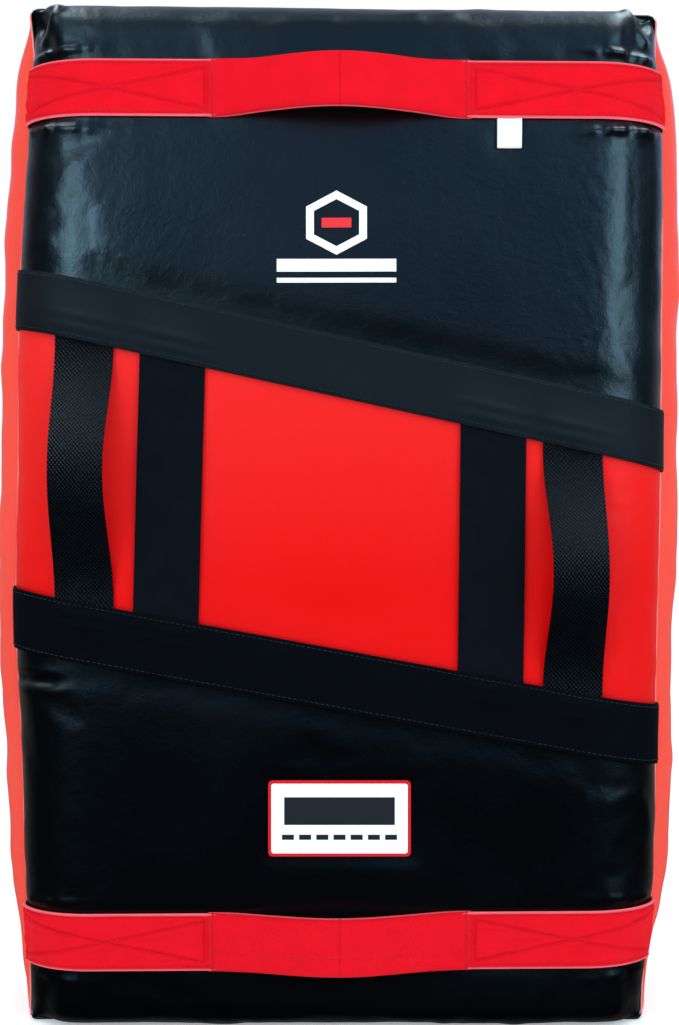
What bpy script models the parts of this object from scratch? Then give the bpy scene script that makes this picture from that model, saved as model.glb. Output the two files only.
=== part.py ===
"""Kick shield (large striking pad): a laminated foam block in a sewn vinyl cover.

It stands upright on its bottom end. The holder's side, with the handles, arm loops and straps,
faces -Y, and the strike face is +Y. The origin is on the ground under the middle of the pad.
Lengths are in metres.
"""

from math import atan, cos, pi, sin

import bmesh
import bpy
from mathutils import Matrix, Vector

# Pad
HEIGHT = 0.700
DEPTH = 0.127
HALF_WIDTH = 0.2405
WIDEST_Z = 0.380
TOP_TAPER = 0.012
BOTTOM_TAPER = 0.021
TAPER_POWER = 2.5
CORNER_RADIUS = 0.008
BACK_RADIUS = 0.034
STRIKE_RADIUS = 0.018
GUSSET_BULGE = 0.016
STRIKE_TUCK = 0.005
GUSSET_FULLNESS = 0.009

# Steps along the pad's curves
BACK_STEPS = 6
GUSSET_STEPS = 6
STRIKE_STEPS = 4
SIDE_STEPS = 10
CORNER_STEPS = 3

# Steps along the straps and round the grips
LOOP_STEPS = 16
LOOP_TAB_STEPS = 12
STRAP_STEPS = 4
HANDLE_TAB_STEPS = 26
GRIP_STEPS = 16
GRIP_FOAM_STEPS = 12
SLEEVE_SEGMENTS = 24

# Sheet materials
VINYL = 0.0012
GAP = 0.0003
CORNER_GAP = 0.0014
LIFT = 0.0005

# Foam core: the planes where its five sheets are laminated
FOAM_JOINTS = (-0.0375, -0.0125, 0.0125, 0.0375)

# Cross bands, which fall towards +X
BAND_HALF_HEIGHT = 0.0202
BAND_THICKNESS = 0.0036
UPPER_BAND_Z = 0.4477
UPPER_BAND_SLOPE = 0.220
LOWER_BAND_Z = 0.2378
LOWER_BAND_SLOPE = 0.182

# Arm loops and inner straps, both of which run between the bands
WEBBING = 0.0018
LOOP_WIDTH = 0.038
LOOP_X = (-0.171, 0.156)
LOOP_STANDOFF = 0.030
LOOP_FREE_FROM = 0.20
STRAP_WIDTH = 0.044
STRAP_X = (-0.114, 0.102)
STRAP_TAB_FREE = 0.007
TUCK = 0.013
NOTCH_REACH = 0.020

# Handles
HANDLE_WIDTH = 0.038
HANDLE_Z = {"top": 0.6335, "bottom": 0.0634}
HANDLE_STANDOFF = {"top": 0.024, "bottom": 0.016}
HANDLE_FREE_FROM = {"top": 0.23, "bottom": 0.30}
HANDLE_HALF_SPAN = 0.087
HANDLE_THICKNESS = 0.0022
SLEEVE_HALF_HEIGHT = 0.017
SLEEVE_HALF_THICKNESS = 0.0065
SLEEVE_END_THICKNESS = 0.0030
SLEEVE_WALL = 0.0012
SLEEVE_TAPER = 0.012
SLEEVE_SQUARENESS = 4
GRIP_FILL_HALF_HEIGHT = 0.0105
GRIP_WEBBING = 0.0016
GRIP_CLEARANCE = 0.0008
BACKING_SIZE = Vector((0.320, 0.0014, 0.044))

# Tag and badge
TAG_SIZE = Vector((0.016, 0.0008, 0.0185))
TAG_X = 0.1136
TAG_TOP_Z = 0.6135
BADGE_SIZE = (0.095, 0.050)
BADGE_Z = 0.145
BADGE_THICKNESS = 0.0012
BADGE_BORDER = 0.0025

BACK_Y = -DEPTH / 2
STRIKE_Y = DEPTH / 2
SEAM_Y = BACK_Y + BACK_RADIUS
STRIKE_SEAM_Y = STRIKE_Y - STRIKE_RADIUS
FLAT_INSET = GUSSET_BULGE + BACK_RADIUS

COLOURS = {
    "black_vinyl": ((0.010, 0.014, 0.022, 1.0), 0.38),
    "red_vinyl": ((0.83, 0.020, 0.018, 1.0), 0.40),
    "black_webbing": ((0.006, 0.008, 0.012, 1.0), 0.85),
    "red_webbing": ((0.80, 0.008, 0.022, 1.0), 0.75),
    "white_patch": ((0.85, 0.85, 0.86, 1.0), 0.60),
    "white_tag": ((0.82, 0.82, 0.80, 1.0), 0.80),
    "strike_foam": ((0.05, 0.05, 0.055, 1.0), 0.90),
    "core_foam": ((0.42, 0.42, 0.40, 1.0), 0.95),
}


# Scene set-up


def clear_scene():
    for item in list(bpy.data.objects):
        bpy.data.objects.remove(item, do_unlink=True)


def new_collection(name):
    collection = bpy.data.collections.new(name)
    bpy.context.scene.collection.children.link(collection)
    return collection


def node_material(node, kind):
    colour, roughness = COLOURS[kind]
    material = bpy.data.materials.new(f"{node}_{kind}")
    material.use_nodes = True
    shader = material.node_tree.nodes["Principled BSDF"]
    shader.inputs["Base Color"].default_value = colour
    shader.inputs["Roughness"].default_value = roughness
    shader.inputs["Metallic"].default_value = 0.0
    return material


def add_node(mesh_builder, name, kind, origin=(0, 0, 0)):
    """A named object with its own material, whose origin is at the given point."""
    mesh = bpy.data.meshes.new(name)
    mesh_builder.transform(Matrix.Translation(-Vector(origin)))
    mesh_builder.to_mesh(mesh)
    mesh_builder.free()
    mesh.materials.append(node_material(name, kind))
    item = bpy.data.objects.new(name, mesh)
    item.location = origin
    PARTS.objects.link(item)
    return item


def thicken(item, thickness, outward):
    """Solidify an open surface towards its outer or its inner side."""
    solidify = item.modifiers.new("thickness", "SOLIDIFY")
    solidify.thickness = thickness
    solidify.offset = 1.0 if outward else -1.0
    solidify.use_even_offset = True
    return item


# The pad's form


def half_width(z):
    """Half the pad's greatest width at a height: a barrel outline, narrower at the bottom."""
    if z > WIDEST_Z:
        rise = (z - WIDEST_Z) / (HEIGHT - WIDEST_Z)
        return HALF_WIDTH - TOP_TAPER * rise**TAPER_POWER
    fall = min(1.0, (WIDEST_Z - z) / WIDEST_Z)
    return HALF_WIDTH - BOTTOM_TAPER * fall**TAPER_POWER


def rings(lift):
    """Depth, side inset and end inset of each ring, from the holder's side to the strike face."""
    found = []
    back = BACK_RADIUS + lift
    for step in range(BACK_STEPS + 1):
        angle = pi / 2 * step / BACK_STEPS
        inset = back * (1 - sin(angle))
        found.append((BACK_Y - lift + back * (1 - cos(angle)), GUSSET_BULGE + inset, inset))
    for step in range(1, GUSSET_STEPS + 1):
        part = step / GUSSET_STEPS
        depth = SEAM_Y + (STRIKE_SEAM_Y - SEAM_Y) * part
        side = GUSSET_BULGE * (1 - part) + STRIKE_TUCK * part - GUSSET_FULLNESS * sin(pi * part)
        found.append((depth, side, 0.0))
    strike = STRIKE_RADIUS + lift
    for step in range(1, STRIKE_STEPS + 1):
        angle = pi / 2 * step / STRIKE_STEPS
        inset = strike * (1 - cos(angle))
        found.append((STRIKE_SEAM_Y + strike * sin(angle), STRIKE_TUCK + inset, inset))
    return found


def right_half_outline(side_inset, end_inset, lift):
    """Points up the +X half of the pad's outline, from the bottom end to the top end."""
    low = end_inset - lift
    high = HEIGHT - end_inset + lift
    reach = side_inset - lift
    points = []
    for step in range(CORNER_STEPS):
        angle = pi / 2 * step / CORNER_STEPS
        centre_x = half_width(low + CORNER_RADIUS) - reach - CORNER_RADIUS
        centre_z = low + CORNER_RADIUS
        points.append((centre_x + CORNER_RADIUS * sin(angle), centre_z - CORNER_RADIUS * cos(angle)))
    for step in range(SIDE_STEPS + 1):
        z = low + CORNER_RADIUS + (high - low - 2 * CORNER_RADIUS) * step / SIDE_STEPS
        points.append((half_width(z) - reach, z))
    for step in range(1, CORNER_STEPS + 1):
        angle = pi / 2 * step / CORNER_STEPS
        centre_x = half_width(high - CORNER_RADIUS) - reach - CORNER_RADIUS
        centre_z = high - CORNER_RADIUS
        points.append((centre_x + CORNER_RADIUS * cos(angle), centre_z + CORNER_RADIUS * sin(angle)))
    return points


def pad_form(lift):
    """The pad's closed outer form, grown by lift: a loft through its rings."""
    form = bmesh.new()
    loops = []
    for depth, side_inset, end_inset in rings(lift):
        right = right_half_outline(side_inset, end_inset, lift)
        outline = right + [(-x, z) for x, z in reversed(right)]
        loops.append([form.verts.new((x, depth, z)) for x, z in outline])
    count = len(loops[0])
    for near, far in zip(loops, loops[1:]):
        for k in range(count):
            after = (k + 1) % count
            form.faces.new((near[k], near[after], far[after], far[k]))
    form.faces.new(loops[0])
    form.faces.new(loops[-1])
    bmesh.ops.recalc_face_normals(form, faces=form.faces)
    return form


def cut_away(form, point, normal, fill=False):
    """Remove what lies on the side of a plane that its normal points to."""
    geometry = form.verts[:] + form.edges[:] + form.faces[:]
    bmesh.ops.bisect_plane(
        form, geom=geometry, dist=1e-6, plane_co=point, plane_no=normal, clear_outer=True
    )
    if fill:
        rim = [edge for edge in form.edges if edge.is_boundary]
        bmesh.ops.holes_fill(form, edges=rim, sides=0)
        bmesh.ops.recalc_face_normals(form, faces=form.faces)


def form_patch(name, kind, planes, lift=0.0, thickness=VINYL, outward=False):
    """A sheet of the pad's form between planes, thickened."""
    form = pad_form(lift)
    for point, normal in planes:
        cut_away(form, point, normal)
    return thicken(add_node(form, name, kind), thickness, outward)


def slanted_plane(z, slope, up):
    """A plane through height z on the middle line, falling towards +X; up keeps what is below."""
    angle = atan(slope)
    normal = Vector((sin(angle), 0, cos(angle)))
    return (Vector((0, 0, z)), normal if up else -normal)


def in_front_of(depth):
    """The plane that keeps the holder's side of a depth."""
    return ((0, depth, 0), (0, 1, 0))


def behind(depth):
    """The plane that keeps the strike side of a depth."""
    return ((0, depth, 0), (0, -1, 0))


# The cover


def make_back_panels():
    front = in_front_of(SEAM_Y - GAP / 2)
    upper = (UPPER_BAND_Z, UPPER_BAND_SLOPE)
    lower = (LOWER_BAND_Z, LOWER_BAND_SLOPE)
    above_upper = slanted_plane(upper[0] + GAP / 2, upper[1], False)
    below_upper = slanted_plane(upper[0] - GAP / 2, upper[1], True)
    above_lower = slanted_plane(lower[0] + GAP / 2, lower[1], False)
    below_lower = slanted_plane(lower[0] - GAP / 2, lower[1], True)
    form_patch("upper_back_panel", "black_vinyl", [front, above_upper])
    form_patch("centre_back_panel", "red_vinyl", [front, below_upper, above_lower])
    form_patch("lower_back_panel", "black_vinyl", [front, below_lower])


def corner_plane(side, end, keep_side):
    """The diagonal plane at a corner, where a side gusset is sewn to an end gusset."""
    z = HEIGHT if end > 0 else 0.0
    x = side * (half_width(z) - GUSSET_BULGE / 2)
    normal = Vector((-side, 0, end)).normalized()
    if not keep_side:
        normal = -normal
    return (Vector((x, 0, z)) - normal * CORNER_GAP / 2, normal)


def make_gussets():
    depths = [behind(SEAM_Y + GAP / 2), in_front_of(STRIKE_SEAM_Y - GAP / 2)]
    for name, side in (("left_gusset", -1), ("right_gusset", 1)):
        corners = [corner_plane(side, end, True) for end in (-1, 1)]
        form_patch(name, "red_vinyl", depths + corners)
    for name, end in (("bottom_gusset", -1), ("top_gusset", 1)):
        corners = [corner_plane(side, end, False) for side in (-1, 1)]
        form_patch(name, "black_vinyl", depths + corners)


def make_strike_panel():
    form_patch("strike_panel", "black_vinyl", [behind(STRIKE_SEAM_Y + GAP / 2)])


# The foam core


def box(size, centre):
    solid = bmesh.new()
    bmesh.ops.create_cube(solid, size=1.0)
    bmesh.ops.scale(solid, vec=size, verts=solid.verts)
    bmesh.ops.translate(solid, vec=centre, verts=solid.verts)
    return solid


def subtract(item, cutter_mesh, name):
    """Cut a box or strip out of a node."""
    mesh = bpy.data.meshes.new(name)
    cutter_mesh.to_mesh(mesh)
    cutter_mesh.free()
    cutter = bpy.data.objects.new(name, mesh)
    cutter.hide_render = True
    cutter.display_type = "WIRE"
    CUTTERS.objects.link(cutter)
    cut = item.modifiers.new(name, "BOOLEAN")
    cut.operation = "DIFFERENCE"
    cut.object = cutter


def backing_centre(end):
    inner_y = BACK_Y + VINYL + GAP + BACKING_SIZE.y / 2
    return Vector((0, inner_y, HANDLE_Z[end]))


def make_backings():
    for end in ("top", "bottom"):
        strip = box(BACKING_SIZE, backing_centre(end))
        add_node(strip, f"{end}_handle_backing", "black_webbing")


def make_foam():
    shrink = -(VINYL + GAP)
    names = ["foam_sheet_back", "foam_sheet_2", "foam_sheet_3", "foam_sheet_4", "foam_sheet_strike"]
    cuts = [None, *FOAM_JOINTS, None]
    for index, name in enumerate(names):
        sheet = pad_form(shrink)
        if cuts[index] is not None:
            cut_away(sheet, *behind(cuts[index] + GAP / 2), fill=True)
        if cuts[index + 1] is not None:
            cut_away(sheet, *in_front_of(cuts[index + 1] - GAP / 2), fill=True)
        kind = "strike_foam" if name == "foam_sheet_strike" else "core_foam"
        item = add_node(sheet, name, kind)
        if name == "foam_sheet_back":
            room = Vector((GAP, GAP, GAP)) * 2
            for end in ("top", "bottom"):
                recess = box(BACKING_SIZE + room, backing_centre(end))
                subtract(item, recess, f"{end}_backing_recess")


# Straps: strips bent along a path


def bent_strip(steps, place):
    """A cube cut into steps along X and mapped by place(along 0..1, across -1..1, out -1..1)."""
    strip = bmesh.new()
    bmesh.ops.create_cube(strip, size=2.0)
    lengthwise = [e for e in strip.edges if abs(e.verts[0].co.x - e.verts[1].co.x) > 1]
    bmesh.ops.subdivide_edges(strip, edges=lengthwise, cuts=steps - 1)
    for vert in strip.verts:
        vert.co = place((vert.co.x + 1) / 2, vert.co.y, vert.co.z)
    if strip.calc_volume(signed=True) < 0:
        bmesh.ops.reverse_faces(strip, faces=strip.faces)
    return strip


def arch(part, standoff):
    """Height of a strap that is sewn flat at both ends and buckled up between them."""
    return standoff * (1 - cos(2 * pi * part)) / 2


def band_edge(band, x, lower_edge):
    """Height of a band's edge at x."""
    z, slope = band
    edge = -BAND_HALF_HEIGHT if lower_edge else BAND_HALF_HEIGHT
    return z + edge / cos(atan(slope)) - slope * x


def free_span(x, width):
    """Lowest and highest height of a strap between the bands, clear of both slanted edges."""
    upper = band_edge((UPPER_BAND_Z, UPPER_BAND_SLOPE), x, True)
    lower = band_edge((LOWER_BAND_Z, LOWER_BAND_SLOPE), x, False)
    return (
        lower + width / 2 * LOWER_BAND_SLOPE + GAP,
        upper - width / 2 * UPPER_BAND_SLOPE - GAP,
    )


def vertical_strip(x, width, z_from, z_to, steps, height_at):
    """A strap along Z whose underside is LIFT and height_at(z) above the back panel."""

    def place(along, across, out):
        z = z_from + (z_to - z_from) * along
        y = BACK_Y - LIFT - height_at(z) - WEBBING * (out + 1) / 2
        return (x + across * width / 2, y, z)

    return bent_strip(steps, place)


def notch_bands(bands, x, width, z_low, z_high, name):
    """Hollow the undersides of both bands where the ends of a strap are tucked in."""
    for band, z_from, z_to in (("lower", z_low - TUCK, z_low), ("upper", z_high, z_high + TUCK)):
        low = z_from - GAP if band == "lower" else z_from - NOTCH_REACH
        high = z_to + GAP if band == "upper" else z_to + NOTCH_REACH
        size = Vector((width + 2 * GAP, 2 * (WEBBING + LIFT + GAP), high - low))
        subtract(bands[band], box(size, Vector((x, BACK_Y, (low + high) / 2))), f"{name}_{band}_notch")


def make_bands():
    front = in_front_of(SEAM_Y - LIFT)
    bands = {}
    for name, z, slope in (
        ("upper", UPPER_BAND_Z, UPPER_BAND_SLOPE),
        ("lower", LOWER_BAND_Z, LOWER_BAND_SLOPE),
    ):
        half = BAND_HALF_HEIGHT / cos(atan(slope))
        planes = [front, slanted_plane(z + half, slope, True), slanted_plane(z - half, slope, False)]
        bands[name] = form_patch(
            f"{name}_cross_band", "black_webbing", planes, LIFT, BAND_THICKNESS, outward=True
        )
    return bands


def make_arm_loops(bands):
    for side, x in zip(("left", "right"), LOOP_X):
        low, high = free_span(x, LOOP_WIDTH)
        span = high - low
        free_low = low + span * LOOP_FREE_FROM
        free_high = high - span * LOOP_FREE_FROM

        def height_at(z):
            return arch(min(1.0, max(0.0, (z - low) / span)), LOOP_STANDOFF)

        pivot_y = BACK_Y - LIFT - WEBBING / 2 - height_at(free_low)
        pivot = (x, pivot_y, (free_low + free_high) / 2)
        pieces = (
            (f"{side}_arm_loop_bottom_tab", low - TUCK, free_low - GAP, LOOP_TAB_STEPS, (0, 0, 0)),
            (f"{side}_arm_loop", free_low, free_high, LOOP_STEPS, pivot),
            (f"{side}_arm_loop_top_tab", free_high + GAP, high + TUCK, LOOP_TAB_STEPS, (0, 0, 0)),
        )
        for name, z_from, z_to, steps, origin in pieces:
            strip = vertical_strip(x, LOOP_WIDTH, z_from, z_to, steps, height_at)
            add_node(strip, name, "black_webbing", origin)
        notch_bands(bands, x, LOOP_WIDTH, low, high, f"{side}_arm_loop")


def make_inner_straps(bands):
    for side, x in zip(("left", "right"), STRAP_X):
        low, high = free_span(x, STRAP_WIDTH)
        free_low = low + STRAP_TAB_FREE
        free_high = high - STRAP_TAB_FREE
        middle = (x, BACK_Y - LIFT - WEBBING / 2, (free_low + free_high) / 2)
        pieces = (
            (f"{side}_inner_strap_bottom_tab", low - TUCK, free_low - GAP, (0, 0, 0)),
            (f"{side}_inner_strap", free_low, free_high, middle),
            (f"{side}_inner_strap_top_tab", free_high + GAP, high + TUCK, (0, 0, 0)),
        )
        for name, z_from, z_to, origin in pieces:
            strip = vertical_strip(x, STRAP_WIDTH, z_from, z_to, STRAP_STEPS, lambda z: 0.0)
            add_node(strip, name, "black_webbing", origin)
        notch_bands(bands, x, STRAP_WIDTH, low, high, f"{side}_inner_strap")


# Handles


def handle_height(end, x):
    part = (x + HANDLE_HALF_SPAN) / (2 * HANDLE_HALF_SPAN)
    return arch(min(1.0, max(0.0, part)), HANDLE_STANDOFF[end])


def make_handle_tab(end, side):
    """The sewn end of a handle, from the side seam round the edge, and up to the grip."""
    z_middle = HANDLE_Z[end]
    sign = -1 if side == "left" else 1
    free_x = HANDLE_HALF_SPAN * (1 - 2 * HANDLE_FREE_FROM[end]) + GAP
    seam_gap = LIFT / BACK_RADIUS

    def place(along, across, out):
        z = z_middle + across * HANDLE_WIDTH / 2
        flat_edge = half_width(z) - FLAT_INSET
        lift = LIFT + HANDLE_THICKNESS * (out + 1) / 2
        radius = BACK_RADIUS + lift
        length = flat_edge - free_x
        around = BACK_RADIUS * (pi / 2 - seam_gap)
        travel = along * (length + around)
        if travel <= length:
            x = free_x + travel
            return (sign * x, BACK_Y - lift - handle_height(end, x), z)
        angle = (travel - length) / BACK_RADIUS
        x = flat_edge + radius * sin(angle)
        return (sign * x, BACK_Y + BACK_RADIUS - radius * cos(angle), z)

    add_node(bent_strip(HANDLE_TAB_STEPS, place), f"{end}_handle_{side}_tab", "red_webbing")


def sleeve_half_thickness(x, free_x):
    """The grip is thin where its ends are sewn and full in the middle."""
    part = min(1.0, (free_x - abs(x)) / SLEEVE_TAPER)
    ease = part * part * (3 - 2 * part)
    return SLEEVE_END_THICKNESS + (SLEEVE_HALF_THICKNESS - SLEEVE_END_THICKNESS) * ease


def grip_middle_y(end, x):
    return BACK_Y - LIFT - HANDLE_THICKNESS / 2 - handle_height(end, x)


def make_sleeve(end, free_x, origin):
    """A flattened tube along the arch, open at both ends."""
    tube = bmesh.new()
    bmesh.ops.create_cone(tube, cap_ends=False, segments=SLEEVE_SEGMENTS, radius1=1, radius2=1, depth=2)
    lengthwise = [e for e in tube.edges if abs(e.verts[0].co.z - e.verts[1].co.z) > 1]
    bmesh.ops.subdivide_edges(tube, edges=lengthwise, cuts=GRIP_STEPS - 1)
    for vert in tube.verts:
        x = vert.co.z * free_x
        powers = abs(vert.co.x) ** SLEEVE_SQUARENESS + abs(vert.co.y) ** SLEEVE_SQUARENESS
        squareness = powers ** (1 / SLEEVE_SQUARENESS)
        out = vert.co.x / squareness * sleeve_half_thickness(x, free_x)
        up = vert.co.y / squareness * SLEEVE_HALF_HEIGHT
        vert.co = (x, grip_middle_y(end, x) - out, HANDLE_Z[end] + up)
    bmesh.ops.recalc_face_normals(tube, faces=tube.faces)
    sleeve = add_node(tube, f"{end}_grip_sleeve", "red_webbing", origin)
    sleeve.data.shade_smooth()
    thicken(sleeve, SLEEVE_WALL, outward=False)


def make_grip(end):
    free_x = HANDLE_HALF_SPAN * (1 - 2 * HANDLE_FREE_FROM[end])
    origin = (0, grip_middle_y(end, free_x), HANDLE_Z[end])
    make_sleeve(end, free_x, origin)
    wall = SLEEVE_WALL + GRIP_CLEARANCE

    def webbing_place(along, across, out):
        x = (2 * along - 1) * free_x
        inward = sleeve_half_thickness(x, free_x) - wall - GRIP_WEBBING / 2
        y = grip_middle_y(end, x) + inward - out * GRIP_WEBBING / 2
        return (x, y, HANDLE_Z[end] + across * GRIP_FILL_HALF_HEIGHT)

    def foam_place(along, across, out):
        x = (2 * along - 1) * (free_x - SLEEVE_TAPER)
        room = SLEEVE_HALF_THICKNESS - wall
        inner = room - GRIP_WEBBING - GAP
        outward = (room - inner) / 2 + out * (room + inner) / 2
        return (x, grip_middle_y(end, x) - outward, HANDLE_Z[end] + across * GRIP_FILL_HALF_HEIGHT)

    add_node(bent_strip(GRIP_STEPS, webbing_place), f"{end}_grip_webbing", "red_webbing", origin)
    add_node(bent_strip(GRIP_FOAM_STEPS, foam_place), f"{end}_grip_foam", "core_foam", origin)


def make_handles():
    for end in ("top", "bottom"):
        for side in ("left", "right"):
            make_handle_tab(end, side)
        make_grip(end)


# Tag and badge


def make_tag():
    y = BACK_Y - LIFT - TAG_SIZE.y / 2
    tag = box(TAG_SIZE, Vector((TAG_X, y, TAG_TOP_Z - TAG_SIZE.z / 2)))
    add_node(tag, "folded_tag", "white_tag", (TAG_X, y, TAG_TOP_Z))


def make_badge():
    width, height = BADGE_SIZE
    border = bmesh.new()
    bmesh.ops.create_grid(border, x_segments=1, y_segments=1, size=0.5)
    bmesh.ops.scale(border, vec=(width, height, 1), verts=border.verts)
    middle = border.faces[:]
    bmesh.ops.inset_region(
        border, faces=middle, thickness=BADGE_BORDER, use_boundary=True, use_even_offset=True
    )
    bmesh.ops.delete(border, geom=middle, context="FACES")
    upright = Matrix.Translation((0, BACK_Y - LIFT, BADGE_Z)) @ Matrix.Rotation(pi / 2, 4, "X")
    bmesh.ops.transform(border, matrix=upright, verts=border.verts)
    thicken(add_node(border, "badge_border", "red_webbing"), BADGE_THICKNESS, outward=True)
    inner = 2 * (BADGE_BORDER + GAP)
    size = Vector((width - inner, BADGE_THICKNESS, height - inner))
    patch = box(size, Vector((0, BACK_Y - LIFT - BADGE_THICKNESS / 2, BADGE_Z)))
    add_node(patch, "badge_patch", "white_patch")


clear_scene()
PARTS = new_collection("kick_shield")
CUTTERS = new_collection("cutters")
make_back_panels()
make_gussets()
make_strike_panel()
make_foam()
make_backings()
BANDS = make_bands()
make_arm_loops(BANDS)
make_inner_straps(BANDS)
make_handles()
make_tag()
make_badge()
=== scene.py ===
"""Looks of the kick shield: sewn vinyl cover over foam, webbing handles, arm loops and straps.

Everything is in the CAD model's frame, in metres: +Z up, the holder's side faces -Y.
"""

from math import atan, cos, exp, pi, sin, sqrt, tau

import bmesh
import bpy
import numpy as np
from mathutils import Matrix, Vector, noise
from mathutils.bvhtree import BVHTree


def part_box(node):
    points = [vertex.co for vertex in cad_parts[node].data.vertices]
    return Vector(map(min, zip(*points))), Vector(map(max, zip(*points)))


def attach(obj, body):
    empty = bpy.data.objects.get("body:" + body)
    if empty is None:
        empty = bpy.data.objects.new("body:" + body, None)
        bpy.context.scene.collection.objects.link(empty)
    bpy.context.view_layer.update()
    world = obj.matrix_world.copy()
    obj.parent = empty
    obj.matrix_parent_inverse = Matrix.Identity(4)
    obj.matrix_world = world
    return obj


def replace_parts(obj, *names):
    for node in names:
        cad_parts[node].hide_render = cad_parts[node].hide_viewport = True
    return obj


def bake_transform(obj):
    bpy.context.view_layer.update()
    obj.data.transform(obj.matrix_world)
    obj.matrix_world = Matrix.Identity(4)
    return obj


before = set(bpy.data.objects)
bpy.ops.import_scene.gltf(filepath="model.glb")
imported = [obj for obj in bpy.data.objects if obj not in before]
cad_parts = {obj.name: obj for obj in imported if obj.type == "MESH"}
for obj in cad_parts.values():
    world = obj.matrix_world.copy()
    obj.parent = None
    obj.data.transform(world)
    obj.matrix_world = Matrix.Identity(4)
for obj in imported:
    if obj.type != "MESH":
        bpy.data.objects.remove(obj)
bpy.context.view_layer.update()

# Sizes read from the frame
BACK_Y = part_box("centre_back_panel")[0].y
STRIKE_SEAM_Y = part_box("strike_panel")[0].y
STRIKE_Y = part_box("strike_panel")[1].y
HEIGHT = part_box("upper_back_panel")[1].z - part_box("lower_back_panel")[0].z
HALF_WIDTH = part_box("right_gusset")[1].x
STRIKE_RADIUS = STRIKE_Y - STRIKE_SEAM_Y
STRIKE_TUCK = HALF_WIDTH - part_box("strike_panel")[1].x

# The cover's outline and its soft edge on the holder's side
WIDEST_Z = 0.380
TOP_TAPER = 0.012
TOP_TAPER_POWER = 3.4
BOTTOM_TAPER = 0.021
BOTTOM_TAPER_POWER = 2.5
SEAM_INSET = 0.0158
EDGE_REACH = 0.052
EDGE_DROP = 0.040
END_REACH = 0.020
END_DROP = 0.030
OUTLINE_CORNER = 0.006
GUSSET_FULLNESS = 0.0135
SEAM_GROOVE = 0.0016
VINYL = 0.0010
CELL = 0.0066

# Small departures from a true rectangle; a lean is (sideways shift, height, spread)
TOP_SINK = 0.0042
TOP_FALL = 0.0026
LEANS = ((0.0040, 0.63, 0.10), (-0.0021, 0.27, 0.08), (-0.0024, 0.0, 0.07))
SEAM_SPREAD = 0.0040

# Bands
BAND_SLOPE = {"upper": 0.220, "lower": 0.182}
BAND_Z = {"upper": 0.4477, "lower": 0.2378}
BAND_HALF = 0.0202

# Straps
LOOP_X = {"left": -0.171, "right": 0.156}
LOOP_STANDOFF = 0.030
LOOP_SPREAD = 0.045
LOOP_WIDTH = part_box("left_arm_loop")[1].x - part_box("left_arm_loop")[0].x
STRAP_X = {"left": -0.114, "right": 0.102}
STRAP_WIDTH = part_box("left_inner_strap")[1].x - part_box("left_inner_strap")[0].x

# Handles
HANDLE_Z = {"top": 0.6335, "bottom": 0.0634}
HANDLE_STANDOFF = {"top": 0.024, "bottom": 0.016}
HANDLE_TILT = {"top": -0.006, "bottom": 0.006}
HANDLE_HALF_SPAN = 0.087
HANDLE_WIDTH = 0.038
WEBBING = 0.0019

# Stitches: length, gap between them and the thread's radius
BAND_STITCH = (0.0028, 0.0009, 0.00028)
BOX_STITCH = (0.0030, 0.0008, 0.00035)
ZIGZAG_STITCH = (0.0028, 0.0006, 0.00034)
GRIP_STITCH = (0.0030, 0.0009, 0.00034)
BADGE_STITCH = (0.0019, 0.0007, 0.00024)

# Badge
BADGE_Z = 0.1452
BADGE_SIZE = (0.0955, 0.0508)
BADGE_BORDER = 0.0021

# Its layers, with the printed mark's: how far each stands off the cover, and its thickness
BADGE_BASE = (0.0003, 0.0012)
BADGE_FIELD = (0.0014, 0.0003)
BADGE_PRINT = (0.0017, 0.00012)
PANEL_PRINT = (0.00012, 0.00016)

# Tag
TAG_X, TAG_TOP, TAG_WIDTH, TAG_DROP = 0.1136, 0.6136, 0.0162, 0.0188

# Where badge and tag hold the cover down: middle in X and Z, half width and half height
HELD_PATCHES = ((0.0, BADGE_Z, 0.048, 0.026), (TAG_X, TAG_TOP - 0.0096, 0.008, 0.010))


# Meshes


def new_piece(name, builder, material, body, smooth=True):
    """An object from a bmesh, with its material, riding on a body unless that is None.
    Its one slot holds that material."""
    mesh = bpy.data.meshes.new(name)
    builder.to_mesh(mesh)
    builder.free()
    piece = bpy.data.objects.new(name, mesh)
    bpy.context.scene.collection.objects.link(piece)
    mesh.materials.append(material)
    if smooth:
        mesh.shade_smooth()
    if body is not None:
        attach(piece, body)
    return piece


def add_modifier(piece, kind, **settings):
    """A modifier with its settings."""
    modifier = piece.modifiers.new(kind.lower(), kind)
    for key, value in settings.items():
        setattr(modifier, key, value)
    return modifier


def apply_modifiers(piece):
    """Make a piece's mesh what its modifiers show."""
    evaluated = piece.evaluated_get(bpy.context.evaluated_depsgraph_get())
    mesh = bpy.data.meshes.new_from_object(evaluated)
    piece.modifiers.clear()
    piece.data = mesh


def bridge(builder, rings, capped=True):
    """Faces between neighbouring rings of vertices, and over both ends."""
    count = len(rings[0])
    for near, far in zip(rings, rings[1:]):
        for k in range(count):
            after = (k + 1) % count
            builder.faces.new((near[k], near[after], far[after], far[k]))
    if capped:
        builder.faces.new(rings[0][::-1])
        builder.faces.new(rings[-1])


def clamp(value, low=0.0, high=1.0):
    return max(low, min(high, value))


def smoothstep(low, high, value):
    part = clamp((value - low) / (high - low))
    return part * part * (3 - 2 * part)


def waves(across, up, seed):
    """Smooth noise from about -0.5 to 0.5, with waves of about unit length."""
    return noise.noise(Vector((across, up, seed)))


def bump_at(distance, width):
    """A smooth hump, 1 at no distance and nearly 0 past the width."""
    return exp(-((distance / width) ** 2) * 2)


# The cover's plain form


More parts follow.
